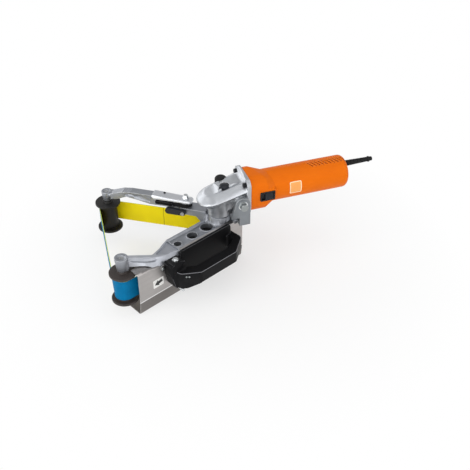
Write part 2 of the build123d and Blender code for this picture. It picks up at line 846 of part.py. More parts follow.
with BuildPart() as fork:
    # Hub plate and tapering arm
    with BuildSketch(near_plan(arm_base_z)):
        Circle(arm_hub_r)
        Polygon((-arm_rear, arm_near_edge), (-arm_rear, 0), (0, -arm_far_edge), (neck_start, -arm_far_edge),
                (neck_waist, 0), (neck_waist, neck_tip_half), (arm_taper_start, arm_near_edge), align=None)
    extrude(amount=arm_plate_t)
    # Stub towards the tension arm, raised clear of the belt and of the gear head's collar
    with BuildSketch(far_side(0)):
        with BuildLine():
            ring_top_z = arm_top_z + arm_ring_h
            clear_r = collar_r + 4 * part_gap
            Polyline((clamp_r, arm_base_z), (stub_root, arm_base_z), (stub_root + stub_rise, stub_low_z),
                     (pivot_reach, stub_low_z), (pivot_reach, stub_top_z), (clear_r, stub_top_z),
                     (clear_r, ring_top_z), (clamp_r, ring_top_z), close=True)
        make_face()
    extrude(amount=stub_half_w, both=True)
    with BuildSketch(far_plan(stub_low_z)):
        with Locations((pivot_reach, 0)):
            Circle(stub_half_w)
    extrude(amount=stub_top_z - stub_low_z)
    # Raised ring round the bearing cap
    with BuildSketch(Plane.XY.offset(arm_base_z)):
        Circle(arm_ring_r)
    extrude(amount=arm_plate_t + arm_ring_h)
    # Pocket between the rims, then collared lightening holes and the neck
    with BuildSketch(near_plan(arm_top_z - arm_pocket_h)):
        w = arm_rim_w
        pocket_in = arm_ring_r + w / 2
        Polygon((pocket_in, guard_flange_in - w), (pocket_in, w - arm_far_edge),
                (neck_start - w / 2, w - arm_far_edge), (neck_waist - w, w),
                (neck_waist - w, neck_tip_half), (arm_taper_start + w, guard_flange_in - w), align=None)
        fillet(vertices(), radius=arm_pocket_r)
    extrude(amount=arm_pocket_h, mode=Mode.SUBTRACT)
    with BuildSketch(near_plan(arm_base_z - arm_collar_h)):
        for s, t, r in zip(arm_hole_s, arm_hole_t, arm_hole_r):
            with Locations((s, t)):
                Circle(r + arm_hole_rim)
    extrude(amount=arm_plate_t + arm_collar_h - arm_pocket_h + arm_hole_rim)
    add(neck.part)
    with BuildSketch(near_plan(arm_base_z - arm_collar_h)):
        for s, t, r in zip(arm_hole_s, arm_hole_t, arm_hole_r):
            with Locations((s, t)):
                Circle(r)
    extrude(amount=arm_plate_t + arm_collar_h, mode=Mode.SUBTRACT)
    # Boss over the near roller
    with BuildSketch(upright(near_axis)):
        with BuildLine():
            Polyline((0, boss_foot_z), (near_boss_foot_r, boss_foot_z), (near_boss_r, near_boss_top_z - boss_rim_h),
                     (near_boss_r, near_boss_top_z), (0, near_boss_top_z), (0, boss_foot_z))
        make_face()
    revolve(axis=standing_axis(near_axis))
    with BuildSketch(Plane.XY.offset(near_boss_top_z)):
        with Locations(flat(near_axis)):
            Circle(near_boss_dish_r)
    extrude(amount=-boss_dish_h, mode=Mode.SUBTRACT)
    with BuildSketch(Plane.XY.offset(boss_foot_z)):
        with Locations(flat(near_axis)):
            Circle(axle_r + run_fit)
    extrude(amount=near_boss_top_z - boss_foot_z, mode=Mode.SUBTRACT)
    # Pad under the bracket's foot
    with BuildSketch(near_plan(arm_base_z)):
        with Locations((foot_pad_s, foot_pad_t)):
            Circle(foot_pad_r)
    extrude(amount=bracket_bottom_z - arm_base_z)
    with BuildSketch(near_plan(arm_base_z)):
        with Locations((foot_pad_s, foot_pad_t)):
            Circle(foot_screw_r)
    extrude(amount=bracket_bottom_z - arm_base_z, mode=Mode.SUBTRACT)
    # Seat for the lever's pin
    with BuildSketch(far_side(stub_half_w)):
        with Locations((lever_s, lever_z)):
            Circle(lever_pin_r + run_fit)
    extrude(amount=lever_pin_len, mode=Mode.SUBTRACT)
    # Bores for the bearing cap and the pivot pin
    with BuildSketch(Plane.XY.offset(arm_base_z)):
        Circle(clamp_r)
        with Locations(flat(far_dir * pivot_reach)):
            Circle(pivot_pin_r + run_fit)
    extrude(amount=stub_top_z - arm_base_z, mode=Mode.SUBTRACT)
fork.part.label = "fork"
export_step(fork.part, "parts/fork.step")

# Belt guard: a channel bent from sheet, with a lip under a crease and a floor below the rollers
with BuildPart() as guard:
    with BuildSketch(near_section(-guard_rear)):
        with BuildLine():
            FilletPolyline((guard_tongue_in, guard_top_z), (guard_out, guard_top_z), (guard_out, guard_crease_z),
                           (guard_out - guard_lip_in, 0), (-guard_floor_in, 0), radius=guard_bend_r)
            offset(amount=sheet_t, side=Side.RIGHT)
        make_face()
    extrude(amount=guard_front + guard_rear)
    # The top flange is narrow along the arm and ends before the bracket's pad
    with BuildSketch(near_plan(guard_top_z)):
        back = guard_front - guard_tongue
        with Locations(((back - guard_rear) / 2, guard_flange_in / 2)):
            Rectangle(back + guard_rear, guard_flange_in)
        with Locations((-(guard_rear + guard_flange_rear) / 2, guard_out / 2)):
            Rectangle(guard_rear - guard_flange_rear, guard_out)
    extrude(amount=-guard_bend_r - sheet_t, mode=Mode.SUBTRACT)
    # The panel dips where the neck leaves the fork
    with BuildSketch(near_side(guard_out)):
        dip_end = arm_length - guard_dip_end
        Polygon((neck_start - part_gap, guard_top_z), (neck_start - part_gap, guard_dip_z),
                (arm_length - guard_dip_front, guard_dip_z), (dip_end, guard_top_z - sheet_t), (dip_end, guard_top_z),
                align=None)
    extrude(amount=guard_out, mode=Mode.SUBTRACT)
    # Seats of the handle's screws and of the stud
    with BuildSketch(near_side(guard_out)):
        with Locations(((handle_plate_front + handle_plate_rear) / 2, bow_mid_z)):
            with GridLocations(handle_screw_pitch, bow_h, 2, 2):
                Circle(handle_screw_r)
        with Locations((stud_s, stud_z)):
            Circle(stud_r)
    extrude(amount=sheet_t, mode=Mode.SUBTRACT)
guard.part.label = "guard"
export_step(guard.part, "parts/guard.step")

# Stud with a nut, low on the guard's outer face
with BuildPart() as guard_stud:
    with BuildSketch(near_side(guard_out - sheet_t)):
        with Locations((stud_s, stud_z)):
            Circle(stud_head_r)
    extrude(amount=stud_head_t)
    with BuildSketch(near_side(guard_out - sheet_t)):
        with Locations((stud_s, stud_z)):
            Circle(stud_r)
    extrude(amount=-sheet_t - stud_out)
    chamfer(faces().sort_by(lambda f: f.center().dot(near_out))[-1].edges(), length=stud_tip)
    with BuildSketch(near_side(guard_out)):
        with Locations((stud_s, stud_z)):
            RegularPolygon(stud_nut / 2, 6, major_radius=False)
    extrude(amount=-stud_nut_t)
guard_stud.part.label = "guard_stud"
export_step(guard_stud.part, "parts/guard_stud.step")

# Bow handle: moulded bow, base plate and a foot with a barrel for its clamp bolt
plate_out = guard_out + handle_plate_t
bow_in = bow_out - bow_depth
bow_corner = bow_depth / 4
bow_low_z = bow_mid_z - bow_h / 2
with BuildSketch() as bow_plan:
    with BuildLine():
        root = guard_out - bow_leg_t
        FilletPolyline((bow_rear, root), (bow_rear, bow_in - bow_corner), (bow_grip_rear, bow_out),
                       (bow_grip_front, bow_out), (bow_front - bow_corner, bow_in), (bow_front, barrel_t),
                       (bow_front, root), radius=bow_bend_r, close=True)
    make_face()
    with BuildLine():
        rear_in = bow_rear + bow_leg_t
        FilletPolyline((rear_in, plate_out), (rear_in, bow_in - 2 * bow_corner), (bow_grip_rear + bow_corner, bow_in),
                       (bow_grip_front - bow_corner, bow_in), (handle_plate_front, bow_in - 2 * bow_corner),
                       (handle_plate_front, plate_out), radius=bow_corner, close=True)
    make_face(mode=Mode.SUBTRACT)

# The bow's front leg is deeper than its grip
with BuildPart() as bow_front_leg:
    with BuildSketch(near_plan(bow_low_z - bow_drop)):
        add(bow_plan.sketch)
    extrude(amount=bow_drop + bow_edge_r)
    with BuildSketch(near_side(bow_out)):
        deep_s = bow_grip_front + bow_depth
        Polygon((bow_grip_front, bow_low_z), (deep_s, bow_low_z - bow_drop), (bow_front, bow_low_z - bow_drop),
                (bow_front, bow_low_z + bow_edge_r), (bow_grip_front, bow_low_z + bow_edge_r), align=None)
    extrude(amount=bow_out, mode=Mode.INTERSECT)

with BuildPart() as bow_handle:
    with BuildSketch(near_plan(bow_low_z)):
        add(bow_plan.sketch)
    extrude(amount=bow_h)
    fillet(edges().group_by(Axis.Z)[-1] + edges().group_by(Axis.Z)[0], radius=bow_edge_r)
    add(bow_front_leg.part)
    with BuildSketch(near_side(guard_out)):
        with Locations(((handle_plate_front + handle_plate_rear) / 2, (handle_plate_top + handle_plate_bottom) / 2)):
            RectangleRounded(handle_plate_front - handle_plate_rear, handle_plate_top - handle_plate_bottom,
                             handle_plate_r)
    extrude(amount=-handle_plate_t)
    with BuildSketch(near_side(guard_out)):
        with BuildLine():
            foot_front = barrel_s + foot_ahead
            FilletPolyline((barrel_s - foot_back, barrel_bottom), (barrel_s + barrel_r, barrel_bottom),
                           (foot_front, foot_slope_z), (foot_front, barrel_top), (barrel_s - foot_back, barrel_top),
                           radius=foot_edge_r, close=True)
        make_face()
    extrude(amount=-foot_out)
    with BuildSketch(near_plan(barrel_bottom)):
        with Locations((barrel_s, barrel_t)):
            Circle(handle_bolt_r)
    extrude(amount=barrel_top - barrel_bottom, mode=Mode.SUBTRACT)
    with BuildSketch(near_side(guard_out)):
        with Locations(((handle_plate_front + handle_plate_rear) / 2, bow_mid_z)):
            with GridLocations(handle_screw_pitch, bow_h, 2, 2):
                Circle(handle_screw_r)
    extrude(amount=handle_skin - handle_plate_t, mode=Mode.SUBTRACT)
    # Trim what reaches into the guard's sheet
    split(bisect_by=near_side(guard_out), keep=Keep.BOTTOM)
bow_handle.part.label = "bow_handle"
export_step(bow_handle.part, "parts/bow_handle.step")

with BuildPart() as handle_screws:
    with BuildSketch(near_side(plate_out - handle_skin)):
        with Locations(((handle_plate_front + handle_plate_rear) / 2, bow_mid_z)):
            with GridLocations(handle_screw_pitch, bow_h, 2, 2):
                Circle(handle_screw_r)
    extrude(amount=handle_plate_t - handle_skin + sheet_t)
    with BuildSketch(near_side(guard_out - sheet_t)):
        with Locations(((handle_plate_front + handle_plate_rear) / 2, bow_mid_z)):
            with GridLocations(handle_screw_pitch, bow_h, 2, 2):
                Circle(handle_screw_head_r)
    extrude(amount=handle_screw_head_h)
handle_screws.part.label = "handle_screws"
export_step(handle_screws.part, "parts/handle_screws.step")

with BuildPart() as handle_bolt:
    with BuildSketch(near_plan(barrel_bottom)):
        with Locations((barrel_s, barrel_t)):
            Circle(handle_bolt_r)
    extrude(amount=barrel_top - barrel_bottom + handle_bolt_head_h + handle_bolt_end)
    with BuildSketch(near_plan(barrel_bottom)):
        with Locations((barrel_s, barrel_t)):
            RegularPolygon(handle_bolt_head / 2, 6, major_radius=False)
    extrude(amount=-handle_bolt_head_h)
handle_bolt.part.label = "handle_bolt"
export_step(handle_bolt.part, "parts/handle_bolt.step")

with BuildPart() as handle_nut:
    with BuildSketch(near_plan(barrel_top)):
        with Locations((barrel_s, barrel_t)):
            RegularPolygon(handle_bolt_head / 2, 6, major_radius=False)
            Circle(handle_bolt_r, mode=Mode.SUBTRACT)
    extrude(amount=handle_bolt_head_h)
handle_nut.part.label = "handle_nut"
export_step(handle_nut.part, "parts/handle_nut.step")

# Tension arm: deep at its pivot, arched over the belt and tapering to the far boss
pivot = far_dir * pivot_reach
tension_half = tension_w / 2
eye_low_z = stub_top_z + part_gap
spring_box_at = pivot_reach + spring_box_rear
with BuildPart() as tension_arm:
    with BuildSketch(far_side(0)):
        with BuildLine():
            a = arm_length
            arch = a - tension_arch_back
            FilletPolyline(
                (pivot_reach, eye_low_z), (pivot_reach + stub_half_w + lever_gap, eye_low_z),
                (spring_box_at, tension_base_z), (a - tension_deep_back, tension_base_z),
                (arch - tension_w, tension_arch_z - arch_fall), (arch, tension_arch_z),
                (a - far_boss_r - far_neck_back, boss_foot_z + far_neck_low),
                (a - far_boss_r, boss_foot_z + far_web_h), (a, boss_foot_z + far_web_h),
                (a, far_boss_top_z - boss_dish_h),
                (a - far_boss_r - arch_fall, far_boss_top_z), (arch + tension_half, tension_crown_z - arch_fall),
                (arch - tension_half, tension_crown_z), (pivot_reach, tension_crown_z),
                radius=(seat_gap, arch_bend_r, arch_bend_r, arch_bend_r, arch_bend_r, arch_bend_r, far_bend_r,
                        far_bend_r, seat_gap, seat_gap, arch_bend_r, arch_bend_r, arch_bend_r, seat_gap), close=True)
        make_face()
    extrude(amount=tension_half, both=True)
    # Ledge under the cover
    with BuildSketch(far_side(0)):
        with BuildLine():
            Polyline((cover_rear, tension_top_z), (cover_front - cover_step, tension_top_z),
                     (cover_front, tension_crown_z), (cover_front, cover_top_z), (cover_rear, cover_top_z),
                     close=True)
        make_face()
    extrude(amount=tension_half, both=True, mode=Mode.SUBTRACT)
    with BuildSketch(far_side(0)) as tension_hollow:
        with BuildLine():
            FilletPolyline(
                (a - tension_deep_back, tension_base_z + tension_rib),
                (arch - tension_w, tension_arch_z - arch_fall + tension_rib),
                (arch, tension_arch_z - arch_fall + tension_rib), (arch + tension_half, tension_arch_z + tension_rib),
                (arch - tension_half, tension_crown_z - tension_rib),
                (cover_front + arch_fall, tension_crown_z - tension_rib), radius=far_bend_r, close=True)
        make_face()
    for side in (far_side(tension_half), far_side(tension_recess - tension_half)):
        with BuildSketch(side):
            add(tension_hollow.sketch_local)
        extrude(amount=tension_recess, mode=Mode.SUBTRACT)
    with BuildSketch(far_plan(eye_low_z)):
        with Locations((pivot_reach, 0)):
            Circle(tension_eye_r)
    extrude(amount=tension_top_z - eye_low_z)
    with BuildSketch(upright(far_axis)):
        with BuildLine():
            Polyline((0, boss_foot_z), (far_boss_foot_r, boss_foot_z), (far_boss_r, far_boss_top_z - boss_rim_h),
                     (far_boss_r, far_boss_top_z), (0, far_boss_top_z), (0, boss_foot_z))
        make_face()
    revolve(axis=standing_axis(far_axis))
    with BuildSketch(Plane.XY.offset(far_boss_top_z)):
        with Locations(flat(far_axis)):
            Circle(far_boss_dish_r)
    extrude(amount=-boss_dish_h, mode=Mode.SUBTRACT)
    with BuildSketch(Plane.XY.offset(boss_foot_z)):
        with Locations(flat(far_axis)):
            Circle(axle_r + run_fit)
    extrude(amount=far_boss_top_z - boss_foot_z, mode=Mode.SUBTRACT)
    with BuildSketch(far_plan(stub_top_z)):
        with Locations((pivot_reach, 0)):
            Circle(pivot_pin_r + run_fit)
    extrude(amount=tension_top_z - stub_top_z, mode=Mode.SUBTRACT)
    # Room for the spring round the pivot
    with BuildSketch(far_plan(stub_top_z)):
        with Locations((pivot_reach, 0)):
            Circle(tension_spring_r + part_gap)
    extrude(amount=tension_spring_h + part_gap, mode=Mode.SUBTRACT)
tension_arm.part.label = "tension_arm"
export_step(tension_arm.part, "parts/tension_arm.step")

with BuildPart() as tension_spring:
    with BuildSketch(far_plan(stub_top_z)):
        with Locations((pivot_reach, 0)):
            Circle(tension_spring_r)
            Circle(pivot_pin_r + part_gap, mode=Mode.SUBTRACT)
    extrude(amount=tension_spring_h)
tension_spring.part.label = "tension_spring"
export_step(tension_spring.part, "parts/tension_spring.step")

with BuildPart() as tension_cover:
    with BuildSketch(far_side(0)):
        with BuildLine():
            Polyline((cover_rear, tension_top_z), (cover_front - cover_step, tension_top_z),
                     (cover_front, tension_crown_z), (cover_front, cover_top_z), (cover_rear, cover_rear_z),
                     close=True)
        make_face()
    extrude(amount=cover_w / 2, both=True)
    fillet(edges().filter_by(Axis.Z).sort_by(lambda e: e.center().dot(far_dir))[:2], radius=cover_corner_r)
    long_edges = edges().filter_by(lambda e: e.length > (cover_front - cover_rear) / 2)
    chamfer(long_edges.sort_by(Axis.Z)[-2:], length=cover_chamfer)
    with BuildSketch(far_plan(tension_top_z)):
        with Locations((pivot_reach, 0)):
            Circle(pivot_pin_r + run_fit)
    extrude(amount=cover_top_z - tension_top_z, mode=Mode.SUBTRACT)
tension_cover.part.label = "tension_cover"
export_step(tension_cover.part, "parts/tension_cover.step")

with BuildPart() as spring_box:
    with BuildSketch(far_side(tension_half)):
        with Locations((spring_box_at + spring_box_len / 2, spring_box_z + spring_box_h / 2)):
            RectangleRounded(spring_box_len, spring_box_h, spring_box_r)
    extrude(amount=-spring_box_t)
spring_box.part.label = "spring_box"
export_step(spring_box.part, "parts/spring_box.step")

with BuildPart() as pivot_pin:
    with BuildSketch(upright(pivot)):
        with BuildLine():
            climb = (cover_top_z - cover_rear_z) / (cover_front - cover_rear)
            top = cover_rear_z + climb * (cover_overhang + pivot_head_r) + part_gap
            Polyline((0, stub_low_z), (pivot_pin_r, stub_low_z), (pivot_pin_r, top), (pivot_head_r, top),
                     (pivot_head_r, top + pivot_head_rim), (pivot_head_tip_r, top + pivot_head_h),
                     (0, top + pivot_head_h), (0, stub_low_z))
        make_face()
    revolve(axis=standing_axis(pivot))
pivot_pin.part.label = "pivot_pin"
export_step(pivot_pin.part, "parts/pivot_pin.step")

# Release lever and its pin
lever_in = stub_half_w + lever_gap
with BuildPart() as release_lever:
    with BuildSketch(far_side(lever_in)):
        with BuildLine():
            lean = atan2(lever_rise, sqrt(lever_reach ** 2 - lever_rise ** 2))
            tip = (lever_s + lever_reach * cos(lean), lever_z + lever_reach * sin(lean))
            across = (-sin(lean), cos(lean))
            e0 = (lever_s + lever_eye_r * across[0], lever_z + lever_eye_r * across[1])
            e1 = (lever_s - lever_eye_r * across[0], lever_z - lever_eye_r * across[1])
            t0 = (tip[0] + lever_tip_r * across[0], tip[1] + lever_tip_r * across[1])
            t1 = (tip[0] - lever_tip_r * across[0], tip[1] - lever_tip_r * across[1])
            back = (lever_s - lever_eye_r * cos(lean), lever_z - lever_eye_r * sin(lean))
            nose = (tip[0] + lever_tip_r * cos(lean), tip[1] + lever_tip_r * sin(lean))
            Line(e0, t0)
            ThreePointArc(t0, nose, t1)
            Line(t1, e1)
            ThreePointArc(e1, back, e0)
        make_face()
        with Locations((lever_s, lever_z)):
            Circle(lever_pin_r + run_fit, mode=Mode.SUBTRACT)
    extrude(amount=-lever_t)
release_lever.part.label = "release_lever"
export_step(release_lever.part, "parts/release_lever.step")

with BuildPart() as lever_pin:
    head_in = lever_in + lever_t + part_gap
    with BuildSketch(far_side(head_in)):
        with Locations((lever_s, lever_z)):
            Circle(lever_pin_r)
    extrude(amount=head_in - stub_half_w + lever_pin_len)
    with BuildSketch(far_side(head_in)):
        with Locations((lever_s, lever_z)):
            Circle(lever_pin_head_r)
    extrude(amount=-lever_pin_head_h)
lever_pin.part.label = "lever_pin"
export_step(lever_pin.part, "parts/lever_pin.step")

# Gear head: a bell on the collar, under a sloping shell that runs back to the motor flange
lock_at = (lock_r * cos(radians(lock_angle)), lock_r * sin(radians(lock_angle)))
lock_floor_z = roof_z + lock_seat_h
lock_rest_z = lock_floor_z + lock_travel + part_gap
crease = radians(crease_rise)
crease_plane = Plane(origin=(0, 0, crease_z), x_dir=(cos(crease), 0, sin(crease)),
                     z_dir=(-sin(crease), 0, cos(crease)))
front_bearing_x = flange_x - front_bearing_w
shield_x = flange_x - shield_t
plug_at = Vector(plug_x, plug_y, 0)

with BuildPart() as gear_head:
    # Round nose, and sides that spread towards the flange and are cut there
    with BuildSketch(crease_plane) as crease_outline:
        with BuildLine():
            CenterArc((-nose_back, 0), nose_r, 0, 360)
            Line((2 * head_flange_x, -flange_half - shell_flare),
                 (2 * head_flange_x, flange_half + shell_flare))
        make_hull()
    extrude(amount=shell_h, taper=shell_lean)
    fillet(faces().sort_by(lambda f: f.center().dot(crease_plane.z_dir))[-1].edges(), radius=shell_round)
    with BuildSketch(crease_plane):
        add(crease_outline.sketch_local)
    extrude(amount=-skirt_h, taper=skirt_lean)
    with BuildSketch(crease_plane):
        with BuildLine():
            CenterArc((0, 0), bell_r, 0, 360)
            Line((2 * head_flange_x, -flange_half), (2 * head_flange_x, flange_half))
        make_hull()
    extrude(amount=-casing_h, taper=casing_lean)
    split(bisect_by=cross_x(head_flange_x), keep=Keep.BOTTOM)
    with BuildSketch(upright(spindle_axis)):
        with BuildLine():
            Polyline((0, collar_z), (collar_r, collar_z), (collar_r, collar_z + collar_h), (bell_r, bell_top_z),
                     (0, bell_top_z), (0, collar_z))
        make_face()
    revolve(axis=Axis.Z)
    with BuildSketch(cross_x(bush_r + head_wall)):
        with Locations((0, motor_z)):
            Circle(tunnel_r + head_wall)
    extrude(amount=head_flange_x - bush_r - head_wall)
    # Raised pad that climbs to the flange
    with BuildSketch(Plane.XZ) as pad_side:
        with BuildLine():
            climb = tan(radians(pad_rise))
            Polyline((-pad_front, crease_z), (pad_rear, crease_z), (pad_rear, pad_z + pad_rear * climb),
                     (-pad_front, pad_z - pad_front * climb), close=True)
        make_face()
    extrude(amount=pad_half, both=True)
    # Flange to the motor
    with BuildSketch(cross_x(head_flange_x)):
        with Locations((0, motor_z)):
            RectangleRounded(2 * flange_half, 2 * flange_half, flange_corner_r)
    extrude(amount=head_flange_t)
    # Side bosses for a handle or bracket, and the boss under the plug
    with BuildSketch(Plane(origin=(0, side_boss_y, 0), x_dir=(1, 0, 0), z_dir=(0, -1, 0))):
        with Locations((side_boss_x, side_boss_z)):
            Circle(side_boss_r)
    extrude(amount=2 * side_boss_y)
    with BuildSketch(Plane.XY.offset(plug_foot_z - plug_boss_h)):
        with Locations(flat(plug_at)):
            Circle(plug_r)
    extrude(amount=plug_boss_h)
    # Inside: gear chamber, tunnel to the motor, seats of the bush and the shield
    with BuildSketch(upright(spindle_axis)):
        with BuildLine():
            boss_r = bush_r + head_wall
            Polyline((0, collar_z), (clamp_r, collar_z), (clamp_r, collar_z + collar_h), (chamber_r, chamber_z),
                     (chamber_r, motor_z), (boss_r + head_wall, roof_z), (boss_r, roof_z), (boss_r, bush_z),
                     (0, bush_z), (0, collar_z))
        make_face()
    revolve(axis=Axis.Z, mode=Mode.SUBTRACT)
    with BuildSketch(Plane.XY.offset(bush_z)):
        Circle(bush_r)
    extrude(amount=bush_h, mode=Mode.SUBTRACT)
    with BuildSketch(cross_x(bush_r + head_wall)):
        with Locations((0, motor_z)):
            Circle(tunnel_r)
    extrude(amount=flange_x - bush_r - head_wall, mode=Mode.SUBTRACT)
    with BuildSketch(cross_x(shield_x)):
        with Locations((0, motor_z)):
            Circle(shield_r + seat_gap)
    extrude(amount=shield_t, mode=Mode.SUBTRACT)
    # Lock button: its well, and the guide of its pin
    with BuildSketch(Plane.XY.offset(lock_floor_z)):
        with Locations(lock_at):
            Circle(lock_cap_r + part_gap)
    extrude(amount=lock_travel + 3 * lock_cap_h, mode=Mode.SUBTRACT)
    with BuildSketch(Plane.XY.offset(bush_z)):
        with Locations(lock_at):
            Circle(lock_pin_r + run_fit)
    extrude(amount=lock_floor_z - bush_z, mode=Mode.SUBTRACT)
    # Seat of the plug
    with BuildSketch(Plane.XY.offset(plug_foot_z)):
        with Locations(flat(plug_at)):
            Circle(plug_r + seat_gap)
    extrude(amount=plug_top_z - plug_foot_z, mode=Mode.SUBTRACT)
    # Scallops and holes of the flange screws
    with BuildSketch(cross_x(head_flange_x)):
        with Locations((0, motor_z)):
            with GridLocations(2 * flange_bolt, 2 * flange_bolt, 2, 2):
                Circle(flange_bolt_head_r + scallop_gap)
    extrude(amount=-head_flange_x / 2, mode=Mode.SUBTRACT)
    with BuildSketch(cross_x(head_flange_x)):
        with Locations((0, motor_z)):
            with GridLocations(2 * flange_bolt, 2 * flange_bolt, 2, 2):
                Circle(flange_bolt_r)
    extrude(amount=head_flange_t, mode=Mode.SUBTRACT)
    # Threaded side holes
    for direction in (1, -1):
        with BuildSketch(Plane(origin=(0, direction * side_boss_y, 0), x_dir=(1, 0, 0), z_dir=(0, -1, 0))):
            with Locations((side_boss_x, side_boss_z)):
                Circle(side_thread_r)
        extrude(amount=direction * side_thread_len, mode=Mode.SUBTRACT)
gear_head.part.label = "gear_head"
export_step(gear_head.part, "parts/gear_head.step")

# Rubber plug on the far shoulder
with BuildPart() as plug:
    with BuildSketch(upright(plug_at)):
        with BuildLine():
            rim = (plug_r, plug_rim_z)
            Polyline((0, plug_top_z), (0, plug_foot_z), (plug_r, plug_foot_z), rim)
            crown = (plug_r * 0.45, plug_top_z)
            ThreePointArc(rim, (plug_r * 0.8, plug_rim_z + 0.72 * (plug_top_z - plug_rim_z)), crown)
            Line(crown, (0, plug_top_z))
        make_face()
    revolve(axis=standing_axis(plug_at))
plug.part.label = "plug"
export_step(plug.part, "parts/plug.step")

# Cap of the spindle bearing, on which the fork and the gear head are both clamped
with BuildPart() as bearing_cap:
    with BuildSketch(upright(spindle_axis)):
        with BuildLine():
            lip_z = spindle_bearing_z - cap_lip_h
            cap_top_z = collar_z + collar_h
            Polyline((spindle_bearing_r, arm_base_z), (cap_r, arm_base_z), (cap_r, cap_top_z),
                     (spindle_bearing_r, cap_top_z), (spindle_bearing_r, spindle_bearing_z),
                     (cap_lip_r, spindle_bearing_z), (cap_lip_r, lip_z), (spindle_bearing_r, lip_z),
                     (spindle_bearing_r, arm_base_z))
        make_face()
    revolve(axis=Axis.Z)
bearing_cap.part.label = "bearing_cap"
export_step(bearing_cap.part, "parts/bearing_cap.step")

# Spindle lock: a sprung button whose pin drops into a hole of the bevel gear
lock_axis_at = Vector(lock_at[0], lock_at[1], 0)
lock_tip_z = gear_root_in.Z + lock_travel - lock_bite
lock_hollow_z = lock_rest_z + lock_hollow_h
with BuildPart() as lock_button:
    with BuildSketch(upright(lock_axis_at)):
        with BuildLine():
            ring_z = bush_z - part_gap
            edge = (lock_cap_r, lock_rest_z + lock_cap_edge)
            crown = (0, lock_rest_z + lock_cap_h)
            Polyline(crown, (0, lock_tip_z), (lock_pin_r, lock_tip_z), (lock_pin_r, ring_z - lock_ring_t),
                     (lock_ring_r, ring_z - lock_ring_t), (lock_ring_r, ring_z), (lock_pin_r, ring_z),
                     (lock_pin_r, lock_hollow_z), (lock_hollow_r, lock_hollow_z), (lock_hollow_r, lock_rest_z),
                     (lock_cap_r, lock_rest_z), edge)
            dome_h = lock_cap_h - lock_cap_edge
            dome_r = (lock_cap_r ** 2 + dome_h ** 2) / (2 * dome_h)
            dome_drop = dome_r - sqrt(dome_r ** 2 - (lock_cap_r / 2) ** 2)
            ThreePointArc(edge, (lock_cap_r / 2, lock_rest_z + lock_cap_h - dome_drop), crown)
        make_face()
    revolve(axis=standing_axis(lock_axis_at))
lock_button.part.label = "lock_button"
export_step(lock_button.part, "parts/lock_button.step")

with BuildPart() as lock_spring:
    with BuildSketch(Plane.XY.offset(lock_floor_z)):
        with Locations(lock_at):
            Circle(lock_hollow_r - part_gap)
            Circle(lock_pin_r + part_gap, mode=Mode.SUBTRACT)
    extrude(amount=lock_hollow_z - lock_floor_z)
lock_spring.part.label = "lock_spring"
export_step(lock_spring.part, "parts/lock_spring.step")

# Screws that hold the motor on the gear head
with BuildPart() as flange_bolts:
    with BuildSketch(cross_x(head_flange_x)):
        with Locations((0, motor_z)):
            with GridLocations(2 * flange_bolt, 2 * flange_bolt, 2, 2):
                Circle(flange_bolt_r)
    extrude(amount=flange_bolt_len)
    with BuildSketch(cross_x(head_flange_x)):
        with Locations((0, motor_z)):
            with GridLocations(2 * flange_bolt, 2 * flange_bolt, 2, 2):
                Circle(flange_bolt_head_r)
    extrude(amount=-flange_bolt_head_h)
flange_bolts.part.label = "flange_bolts"
export_step(flange_bolts.part, "parts/flange_bolts.step")

# Bracket from the gear head's side boss down to the fork
foot_at = near_dir * foot_pad_s + near_out * foot_pad_t
bracket_plane = Plane(origin=(0, -side_boss_y, 0), x_dir=(1, 0, 0), z_dir=(0, -1, 0))
bracket_eye_r = bracket_right_x - side_boss_x
with BuildPart() as side_bracket:
    with BuildSketch(bracket_plane):
        Polygon((bracket_right_x, bracket_bottom_z), (bracket_right_x, side_boss_z),
                (side_boss_x - bracket_eye_r, side_boss_z), (bracket_wing_x, bracket_wing_z),
                (bracket_block_x, bracket_wing_z), (bracket_block_x, bracket_bottom_z), align=None)
        with Locations((side_boss_x, side_boss_z)):
            Circle(bracket_eye_r)
    extrude(amount=bracket_t)
    with BuildSketch(Plane.XY.offset(bracket_bottom_z)):
        with Locations(((bracket_block_x + bracket_right_x) / 2, -(side_boss_y + bracket_foot_y) / 2)):
            Rectangle(bracket_right_x - bracket_block_x, side_boss_y - bracket_foot_y)
    extrude(amount=foot_t)
    with BuildSketch(bracket_plane):
        with Locations((side_boss_x, side_boss_z)):
            Circle(side_thread_r + run_fit)
    extrude(amount=bracket_t, mode=Mode.SUBTRACT)
    with BuildSketch(Plane.XY.offset(bracket_bottom_z)):
        with Locations(flat(foot_at)):
            Circle(foot_screw_r)
    extrude(amount=foot_t, mode=Mode.SUBTRACT)
side_bracket.part.label = "side_bracket"
export_step(side_bracket.part, "parts/side_bracket.step")

with BuildPart() as side_washer:
    with BuildSketch(bracket_plane.offset(bracket_t)):
        with Locations((side_boss_x, side_boss_z)):
            Circle(bolt_washer_r)
            Circle(side_thread_r + run_fit, mode=Mode.SUBTRACT)
    extrude(amount=bolt_washer_t)
side_washer.part.label = "side_washer"
export_step(side_washer.part, "parts/side_washer.step")

with BuildPart() as side_bolt:
    bolt_seat = bracket_t + bolt_washer_t
    with BuildSketch(bracket_plane.offset(bolt_seat)):
        with Locations((side_boss_x, side_boss_z)):
            RegularPolygon(bolt_af / 2, 6, major_radius=False)
    extrude(amount=bolt_head_h)
    with BuildSketch(bracket_plane.offset(bolt_seat)):
        with Locations((side_boss_x, side_boss_z)):
            Circle(side_thread_r)
    extrude(amount=-bolt_seat - side_thread_len)
side_bolt.part.label = "side_bolt"
export_step(side_bolt.part, "parts/side_bolt.step")

